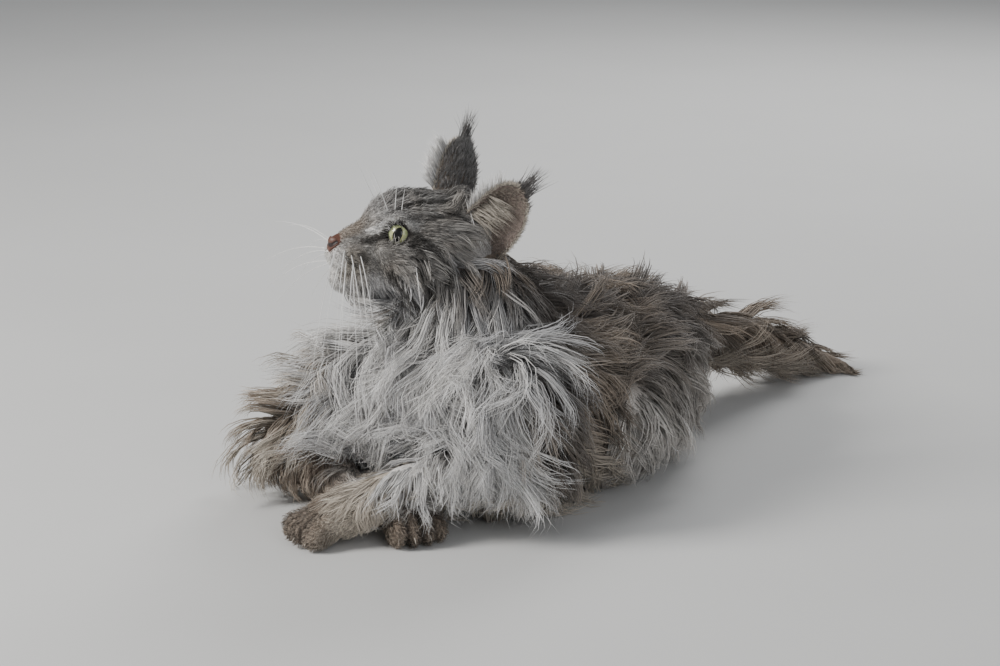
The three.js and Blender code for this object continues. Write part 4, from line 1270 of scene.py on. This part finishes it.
def nose_leather():
    """The bare nose: a rounded triangle laid on the face, with its nostrils pressed in."""
    rings, columns = 26, 64
    turn = np.linspace(0, TURN, columns, endpoint=False)
    up = np.sin(turn)
    lean = np.radians(90 - np.where(up > 0, 44 * up**1.5, 34 * np.abs(up)) - 12 * peak(up + 0.6, 0.25))
    share = np.linspace(1, 0.04, rings)[:, None]
    spread = share * lean
    way = np.stack([np.cos(spread), np.sin(spread) * np.cos(turn), np.sin(spread) * up], axis=2)
    way = way.reshape(-1, 3)
    on, out = settle(np.array(NOSE["centre"]) + way * NOSE["radius"])
    dent = peak(near_line(folded(on), NOSTRIL), 1.9) + 0.4 * peak(on[:, 1], 0.7) * (on[:, 2] < -8)
    edge = np.repeat(np.sin(np.minimum(1, (1 - share[:, 0]) * 7) * math.pi / 2), columns)
    top = (on + out * (NOSE["lift"] * edge - NOSE["dent"] * dent * edge)[:, None]).reshape(rings, columns, 3)
    low = (on - out * NOSE["sink"]).reshape(rings, columns, 3)[:1]
    points, faces = shell(from_head(np.concatenate([low, top])))
    mesh = fast_mesh("nose", points, facing_out(points, faces))
    deep = np.concatenate([np.zeros(columns), dent * edge, [0, 0]])
    store(mesh.attributes.new("Nostril", "FLOAT", "POINT"), "value", deep)
    return place_object("nose_leather", mesh)


class Links:
    """A value in a material's nodes that adds, multiplies and mixes like a number."""

    def __init__(self, tree, socket):
        self.tree, self.socket = tree, socket

    def math(self, kind, *values):
        return self.tree.add("ShaderNodeMath", {"operation": kind}, dict(enumerate(values)))

    def __add__(self, other):
        return self.math("ADD", self, other)

    def __radd__(self, other):
        return self.math("ADD", other, self)

    def __rsub__(self, other):
        return self.math("SUBTRACT", other, self)

    def __mul__(self, other):
        return self.math("MULTIPLY", self, other)

    def __rmul__(self, other):
        return self.math("MULTIPLY", other, self)

    def __truediv__(self, other):
        return self.math("DIVIDE", self, other)

    def __pow__(self, other):
        return self.math("POWER", self, other)

    def step(self, low, high):
        """A soft step from 0 at low to 1 at high."""
        values = {"Value": self, "From Min": low, "From Max": high}
        return self.tree.add("ShaderNodeMapRange", {"interpolation_type": "SMOOTHSTEP"}, values)


class Material:
    """A procedural material under construction."""

    def __init__(self, name):
        old = bpy.data.materials.get(name)
        if old:
            bpy.data.materials.remove(old)
        self.material = bpy.data.materials.new(name)
        self.material.use_nodes = True
        self.nodes = self.material.node_tree.nodes
        self.surface = self.nodes["Principled BSDF"]

    def add(self, kind, settings=None, values=None, output=0):
        """Any node: its settings come first, then its values and links."""
        node = self.nodes.new(kind)
        for key, value in (settings or {}).items():
            setattr(node, key, value)
        for key, value in (values or {}).items():
            self.put(node.inputs[key], value)
        return Links(self, node.outputs[output])

    def put(self, socket, value):
        if isinstance(value, Links):
            self.material.node_tree.links.new(value.socket, socket)
        elif isinstance(value, tuple) and len(value) == 3:
            socket.default_value = (*value, 1.0)
        else:
            socket.default_value = value

    def attribute(self, name, output="Color"):
        return self.add("ShaderNodeAttribute", {"attribute_name": name}, output=output)

    def mix(self, share, a, b, kind="MIX"):
        """Colours a and b mixed by a share."""
        settings = {"data_type": "RGBA", "blend_type": kind}
        return self.add("ShaderNodeMix", settings, {"Factor": share, 6: a, 7: b}, output=2)

    def noise(self, scale, detail=3.0, where=None):
        where = where or self.add("ShaderNodeTexCoord", output="Object")
        return self.add("ShaderNodeTexNoise", values={"Vector": where, "Scale": scale, "Detail": detail})

    def bump(self, height, strength, distance):
        values = {"Height": height, "Strength": strength, "Distance": distance}
        self.put(self.surface.inputs["Normal"], self.add("ShaderNodeBump", values=values))

    def set(self, **values):
        for name, value in values.items():
            self.put(self.surface.inputs[name.replace("_", " ")], value)


def fur_material():
    m = Material("fur")
    fine = m.noise(900.0, 2.0)
    # The colour attribute holds the coat's markings and its painted shade.
    colour = m.mix(fine.step(0.35, 0.7) * 0.25, m.attribute("MarkingsAndShade"), (0.9, 0.88, 0.86), "MULTIPLY")
    m.set(Base_Color=colour, Roughness=0.5 + 0.15 * fine)
    m.set(Sheen_Weight=0.15, Sheen_Roughness=0.4, Specular_IOR_Level=0.35)
    return m.material


def skin_material():
    m = Material("skin")
    hairs = m.noise(700.0, 4.0)
    # The colour attribute holds the skin's markings and its painted shade.
    colour = m.mix(hairs.step(0.3, 0.75), m.attribute("MarkingsAndShade"), (0.5, 0.47, 0.45), "MULTIPLY")
    m.set(Base_Color=colour, Roughness=0.62 + 0.2 * hairs, Specular_IOR_Level=0.3)
    m.bump(hairs, 0.5, 0.0006)
    return m.material


def eye_material():
    """A pale green iris with fine rays, an upright oval pupil and a dark rim, under a wet coat."""
    m = Material("eye")
    gaze = m.attribute("Gaze", "Vector")
    x, y = (m.add("ShaderNodeSeparateXYZ", values={0: gaze}, output=k) for k in range(2))
    out = (x * x + y * y) ** 0.5
    pupil = ((x / 0.38) ** 2.0 + (y / 0.62) ** 2.0) ** 0.5
    rays = m.add("ShaderNodeCombineXYZ", values={0: x.math("ARCTAN2", y, x), 1: out * 0.6})
    rays = m.noise(9.0, 5.0, rays)
    iris = m.mix(out.step(0.3, 0.75), (0.50, 0.46, 0.16), (0.36, 0.42, 0.20))
    iris = m.mix(rays.step(0.35, 0.7), iris, (0.62, 0.66, 0.38))
    iris = m.mix(out.step(0.74, 0.9), iris, (0.03, 0.03, 0.02))
    colour = m.mix(1 - pupil.step(0.93, 1.03), iris, (0.002, 0.002, 0.002))
    m.set(Base_Color=colour, Roughness=0.25 + 0.1 * rays, Coat_Weight=1 - 0.02 * rays, Coat_Roughness=0.02)
    m.set(IOR=1.376, Coat_IOR=1.376)
    return m.material


def nose_material():
    m = Material("nose_leather")
    where = m.add("ShaderNodeTexCoord", output="Object")
    cells = m.add("ShaderNodeTexVoronoi", values={"Vector": where, "Scale": 1500.0})
    tone = m.noise(160.0, 3.0)
    colour = m.mix(tone, (0.085, 0.035, 0.022), (0.14, 0.06, 0.04))
    # Painted shade: the nostrils' dents are coloured almost black for the shade inside them.
    dark = m.attribute("Nostril", "Fac").step(0.25, 0.6)
    m.set(Base_Color=m.mix(dark, colour, (0.015, 0.006, 0.005)), Roughness=0.35 + 0.2 * cells)
    m.bump(cells, 0.35, 0.0003)
    return m.material


def pale_material(name, low, high, rough, scale):
    """A pale horn or hair that varies a little along its length."""
    m = Material(name)
    tone = m.noise(scale, 2.0)
    m.set(Base_Color=m.mix(tone, low, high), Roughness=rough + 0.1 * tone)
    return m.material


def tube_tree():
    """Nodes that turn a drawing of edges into tapered tubes. Each point's Radius is in metres."""
    name = "tapered tubes"
    old = bpy.data.node_groups.get(name)
    if old:
        bpy.data.node_groups.remove(old)
    tree = bpy.data.node_groups.new(name, "GeometryNodeTree")
    sockets = {}
    for label, way, kind in [
        ("Geometry", "INPUT", "Geometry"), ("Sides", "INPUT", "Int"), ("Thickness", "INPUT", "Float"),
        ("Finish", "INPUT", "Material"), ("Geometry", "OUTPUT", "Geometry"),
    ]:
        socket = tree.interface.new_socket(label, in_out=way, socket_type=f"NodeSocket{kind}")
        sockets[label] = socket.identifier
    kinds = {
        "start": "NodeGroupInput", "end": "NodeGroupOutput", "curve": "GeometryNodeMeshToCurve",
        "size": "GeometryNodeSetCurveRadius", "tube": "GeometryNodeCurveToMesh",
        "radius": "GeometryNodeInputNamedAttribute", "scaled": "ShaderNodeMath",
        "circle": "GeometryNodeCurvePrimitiveCircle", "whole": "GeometryNodeRealizeInstances",
        "finish": "GeometryNodeSetMaterial",
    }
    nodes = {key: tree.nodes.new(kind) for key, kind in kinds.items()}
    nodes["radius"].inputs["Name"].default_value = "Radius"
    nodes["scaled"].operation = "MULTIPLY"
    nodes["circle"].inputs["Radius"].default_value = 1.0
    nodes["tube"].inputs["Fill Caps"].default_value = True
    links = [
        ("start", "Geometry", "curve", "Mesh"), ("curve", "Curve", "size", "Curve"),
        ("radius", "Attribute", "scaled", 0), ("start", "Thickness", "scaled", 1),
        ("scaled", "Value", "size", "Radius"), ("start", "Sides", "circle", "Resolution"),
        ("size", "Curve", "tube", "Curve"), ("circle", "Curve", "tube", "Profile Curve"),
        ("tube", "Mesh", "whole", "Geometry"), ("whole", "Geometry", "finish", "Geometry"),
        ("start", "Finish", "finish", "Material"), ("finish", "Geometry", "end", "Geometry"),
    ]
    if "Scale" in nodes["tube"].inputs:
        links.append(("scaled", "Value", "tube", "Scale"))
    for source, output, target, entry in links:
        tree.links.new(nodes[source].outputs[output], nodes[target].inputs[entry])
    return tree, sockets


def tubes(name, paths, radii, sides, material):
    """Closed tapered tubes along the paths, in millimetres."""
    edges, start = [], 0
    for path in paths:
        edges += [(start + i, start + i + 1) for i in range(len(path) - 1)]
        start += len(path)
    mesh = bpy.data.meshes.new(name)
    mesh.from_pydata((np.concatenate(paths) * MM).tolist(), edges, [])
    store(mesh.attributes.new("Radius", "FLOAT", "POINT"), "value", np.concatenate(radii) * MM)
    obj = place_object(name, mesh)
    tree, sockets = tube_tree()
    nodes = obj.modifiers.new("tubes", "NODES")
    nodes.node_group = tree
    for label, value in {"Sides": sides, "Thickness": 1.0, "Finish": material}.items():
        nodes[sockets[label]] = value
    applied(obj)
    obj.data.shade_smooth()
    return obj


# Whiskers: [forward, left, up] of the root, the way out there, length and droop.
WHISKER_ROWS = [
    [[80, 9, -15], [0.55, 1.0, 0.42], 84, 0.35],
    [[77, 11.5, -16.5], [0.35, 1.0, 0.32], 92, 0.4],
    [[73, 13, -17.5], [0.15, 1.0, 0.22], 88, 0.45],
    [[80, 9.5, -19], [0.60, 1.0, 0.12], 90, 0.5],
    [[76, 12, -20.5], [0.38, 1.0, 0.02], 98, 0.55],
    [[72, 13.5, -21.5], [0.15, 1.0, -0.06], 90, 0.5],
    [[79, 10, -23.5], [0.62, 0.9, -0.22], 74, 0.55],
    [[75, 12, -25], [0.40, 0.9, -0.32], 80, 0.5],
    [[71, 13.5, -25], [0.20, 0.9, -0.35], 70, 0.45],
    [[67, 14, -21], [0.0, 1.0, 0.05], 66, 0.4],
    [[66, 14, -17], [0.0, 1.0, 0.22], 60, 0.35],
    [[42, 15, 21], [0.55, 0.35, 1.0], 46, 0.1],
    [[38, 19, 22], [0.35, 0.55, 1.0], 42, 0.12],
    [[34, 22, 22], [0.2, 0.7, 1.0], 34, 0.15],
    [[22, 36, -16], [0.1, 1.0, -0.1], 38, 0.3],
]
# The radius at the root, the share of it lost at the tip, and how the left side's whiskers hang.
WHISKER = {"radius": 0.5, "taper": 0.86, "hang": 0.75}
# A claw is long past the toe's skin and its root is sunk behind the toe's end.
CLAW = {"radius": 1.0, "taper": 0.85, "long": 4.0, "sunk": 2.5}


def whisker_paths(seed, scale):
    random = np.random.default_rng(seed)
    paths, radii = [], []
    for place, way, length, droop in WHISKER_ROWS:
        for side in [-1, 1]:
            root, _ = settle(np.array([place]) * [1, side, 1])
            lie = np.array(way) * [1, side, 1] + random.normal(0, 0.06, 3)
            hang = ramp(-root[0, 2], 0, 8) * (side > 0)
            lie = unit(lie - UP * WHISKER["hang"] * hang)
            size = length * scale * random.uniform(0.88, 1.08)
            s = np.linspace(0, 1, 12)[:, None]
            sag = UP * droop * size * (0.8 + 0.5 * hang) * s**2
            paths.append(from_head(root + lie * size * (s - 0.03)) - sag)
            radii.append(WHISKER["radius"] * (1 - WHISKER["taper"] * s[:, 0]))
    return paths, radii


def claw_paths():
    """A short hooked claw at the end of each toe."""
    paths, radii = [], []
    for paw in map(Paw, PAWS):
        for at, way in paw.toes:
            t = np.linspace(0, 1, 7)[:, None]
            root = at + way * (TOES["long"] - CLAW["sunk"]) - UP
            paths.append(root + way * CLAW["long"] * t - UP * CLAW["long"] * t**2)
            radii.append(CLAW["radius"] * (1 - CLAW["taper"] * t[:, 0]))
    return paths, radii


def ride(obj, material=None, nodes=()):
    """The finished piece rides on the body, takes its finish's slot and stands for its solids."""
    if material:
        obj.data.materials.clear()
        obj.data.materials.append(material)
    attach(obj, "root")
    if nodes:
        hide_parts(*nodes)


class CatSettings(bpy.types.PropertyGroup):
    seed: bpy.props.IntProperty(name="Seed", description="Start of the random numbers", default=7)
    fullness: bpy.props.FloatProperty(
        name="Fullness", description="Share of the coat's strands that grow", default=1.0, min=0.05,
        max=1.2, subtype="FACTOR",
    )
    whiskers: bpy.props.FloatProperty(
        name="Whiskers", description="Length of the whiskers against their usual one", default=1.0,
        min=0.2, max=1.2, subtype="FACTOR",
    )
    lamp_power: bpy.props.FloatProperty(
        name="Lamp", description="Power of the main lamp", default=82.0, min=0.0, subtype="POWER",
        unit="POWER",
    )


def skin_colour(p, region, out):
    """The markings of the skin with their painted shade, with the bare inside and the dark back of the ears.
    """
    q = to_head(p)
    ear = (region == HEAD_ID) & (head_distance(q, SKIN["head_depth"]) > 4) & (q[:, 2] > -10) & (q[:, 0] < -5)
    facing = np.where(q[:, 1:2] > 0, EAR["ear_left"].facing, EAR["ear_right"].facing)
    inner = ramp(((out @ HEAD_TURN) * facing).sum(axis=1), -0.1, 0.3)
    return np.where(ear[:, None], blend(Tone.brown, Tone.pink, inner), coat_colour(p, region, out))


class SkinOperator(bpy.types.Operator):
    """Builds the skin with its markings and painted shade"""

    bl_idname = "cat.skin"
    bl_label = "Skin"

    def execute(self, context):
        skin = make_skin()
        p = places(skin.data)
        region = region_of(p)
        out = np.array([v.normal for v in skin.data.vertices])
        paint(skin.data, skin_colour(p, region, out), atlas(p, region))
        nodes = [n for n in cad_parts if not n.startswith("eye")]
        ride(skin, skin_material(), nodes)
        return {"FINISHED"}


class EyesOperator(bpy.types.Operator):
    """Builds the eyes"""

    bl_idname = "cat.eyes"
    bl_label = "Eyes"

    def execute(self, context):
        material = eye_material()
        for side, node in [(1, "eye_left"), (-1, "eye_right")]:
            ride(eye_ball(side), material, [node])
        return {"FINISHED"}


class NoseOperator(bpy.types.Operator):
    """Builds the bare nose"""

    bl_idname = "cat.nose"
    bl_label = "Nose"

    def execute(self, context):
        ride(nose_leather(), nose_material())
        return {"FINISHED"}


class CoatOperator(bpy.types.Operator):
    """Grows the coat of the body and the head"""

    bl_idname = "cat.coat"
    bl_label = "Coat"

    def execute(self, context):
        size = context.scene.cat
        share = size.fullness * 1.0
        surface = Surface(bpy.data.objects["skin"].data)
        material = fur_material()
        for piece in grow_coat(surface, share, size.seed):
            ride(piece, material)
        return {"FINISHED"}


class EarsOperator(bpy.types.Operator):
    """Grows the fur of the ears"""

    bl_idname = "cat.ears"
    bl_label = "Ears"

    def execute(self, context):
        size = context.scene.cat
        for name in EAR:
            for piece in ear_fur(name, size.fullness, size.seed):
                ride(piece, bpy.data.materials["fur"])
        return {"FINISHED"}


class WhiskersOperator(bpy.types.Operator):
    """Builds the whiskers"""

    bl_idname = "cat.whiskers"
    bl_label = "Whiskers"

    def execute(self, context):
        size = context.scene.cat
        material = pale_material("whisker", (0.75, 0.74, 0.72), (0.88, 0.87, 0.85), 0.3, 60.0)
        ride(tubes("whiskers", *whisker_paths(size.seed, size.whiskers), 5, material))
        return {"FINISHED"}


class ClawsOperator(bpy.types.Operator):
    """Builds the claws"""

    bl_idname = "cat.claws"
    bl_label = "Claws"

    def execute(self, context):
        material = pale_material("claw", (0.55, 0.48, 0.40), (0.72, 0.66, 0.58), 0.28, 220.0)
        ride(tubes("claws", *claw_paths(), 8, material))
        return {"FINISHED"}


CAMERA = {
    "azimuth": 32, "elevation": 15, "distance": 2300, "target": (0, 0, 150), "lens": 93.56, "sensor": 36.0,
}
# Each lamp in metres: its place, the place it points to, its size, its share of the power, its colour.
LAMPS = {
    "main lamp": [(-1.5, -1.7, 1.7), (0, 0, 0.15), 0.9, 1.0, (1, 0.98, 0.95)],
    "fill lamp": [(2.4, -1.6, 1.3), (0, 0, 0.15), 1.8, 0.25, (0.95, 0.97, 1)],
    "back lamp": [(-0.4, 2.4, 1.8), (0, 0.1, 0.15), 1.4, 0.5, (1, 1, 1)],
}
SKY = {"Color": (0.75, 0.77, 0.8, 1), "Strength": 0.36}
FLOOR_HALF = 25.0


def lamp(name, place, target, size, power, colour):
    light = bpy.data.lights.new(name, "AREA")
    light.energy, light.size, light.color = power, size, colour
    obj = bpy.data.objects.new(name, light)
    bpy.context.scene.collection.objects.link(obj)
    obj.location = place
    obj.rotation_euler = (Vector(target) - Vector(place)).to_track_quat("-Z", "Y").to_euler()
    return obj


class StageOperator(bpy.types.Operator):
    """Builds the floor, the lamps and the camera"""

    bl_idname = "cat.stage"
    bl_label = "Stage"

    def execute(self, context):
        m = Material("floor")
        m.set(Base_Color=m.mix(m.noise(3.0, 4.0), (0.62, 0.62, 0.61), (0.68, 0.68, 0.67)), Roughness=0.85)
        mesh = bpy.data.meshes.new("floor")
        corners = [(-1, -1), (1, -1), (1, 1), (-1, 1)]
        mesh.from_pydata([(x * FLOOR_HALF, y * FLOOR_HALF, 0) for x, y in corners], [], [(0, 1, 2, 3)])
        mesh.materials.append(m.material)
        floor = place_object("floor", mesh)
        power = context.scene.cat.lamp_power
        lamps = [
            lamp(name, place, target, size, power * share, colour)
            for name, (place, target, size, share, colour) in LAMPS.items()
        ]
        world = bpy.data.worlds.new("studio")
        world.use_nodes = True
        for key, value in SKY.items():
            world.node_tree.nodes["Background"].inputs[key].default_value = value
        context.scene.world = world
        azimuth, elevation = math.radians(CAMERA["azimuth"]), math.radians(CAMERA["elevation"])
        level = math.cos(elevation)
        back = Vector((math.sin(azimuth) * level, -math.cos(azimuth) * level, math.sin(elevation)))
        data = bpy.data.cameras.new("camera")
        data.lens, data.sensor_width = CAMERA["lens"], CAMERA["sensor"]
        camera = bpy.data.objects.new("camera", data)
        context.scene.collection.objects.link(camera)
        camera.location = (Vector(CAMERA["target"]) + back * CAMERA["distance"]) * MM
        camera.rotation_euler = (-back).to_track_quat("-Z", "Y").to_euler()
        context.scene.camera = camera
        return {"FINISHED"}


OPERATORS = [
    SkinOperator, EyesOperator, NoseOperator, CoatOperator, EarsOperator, WhiskersOperator, ClawsOperator,
    StageOperator,
]


class CatPanel(bpy.types.Panel):
    """The cat's settings and its pieces in the order they are built"""

    bl_idname = "VIEW3D_PT_cat"
    bl_label = "Long-haired cat"
    bl_space_type = "VIEW_3D"
    bl_region_type = "UI"
    bl_category = "Cat"

    def draw(self, context):
        for name in CatSettings.__annotations__:
            self.layout.prop(context.scene.cat, name)
        for operator in OPERATORS:
            self.layout.operator(operator.bl_idname)


CLASSES = [CatSettings, *OPERATORS, CatPanel]


def register():
    for cls in CLASSES:
        bpy.utils.register_class(cls)
    bpy.types.Scene.cat = bpy.props.PointerProperty(type=CatSettings)


def unregister():
    del bpy.types.Scene.cat
    for cls in reversed(CLASSES):
        bpy.utils.unregister_class(cls)


def main():
    register()
    bpy.ops.cat.skin()
    bpy.ops.cat.eyes()
    bpy.ops.cat.nose()
    bpy.ops.cat.coat()
    bpy.ops.cat.ears()
    bpy.ops.cat.whiskers()
    bpy.ops.cat.claws()
    bpy.ops.cat.stage()


if __name__ == "__main__":
    main()
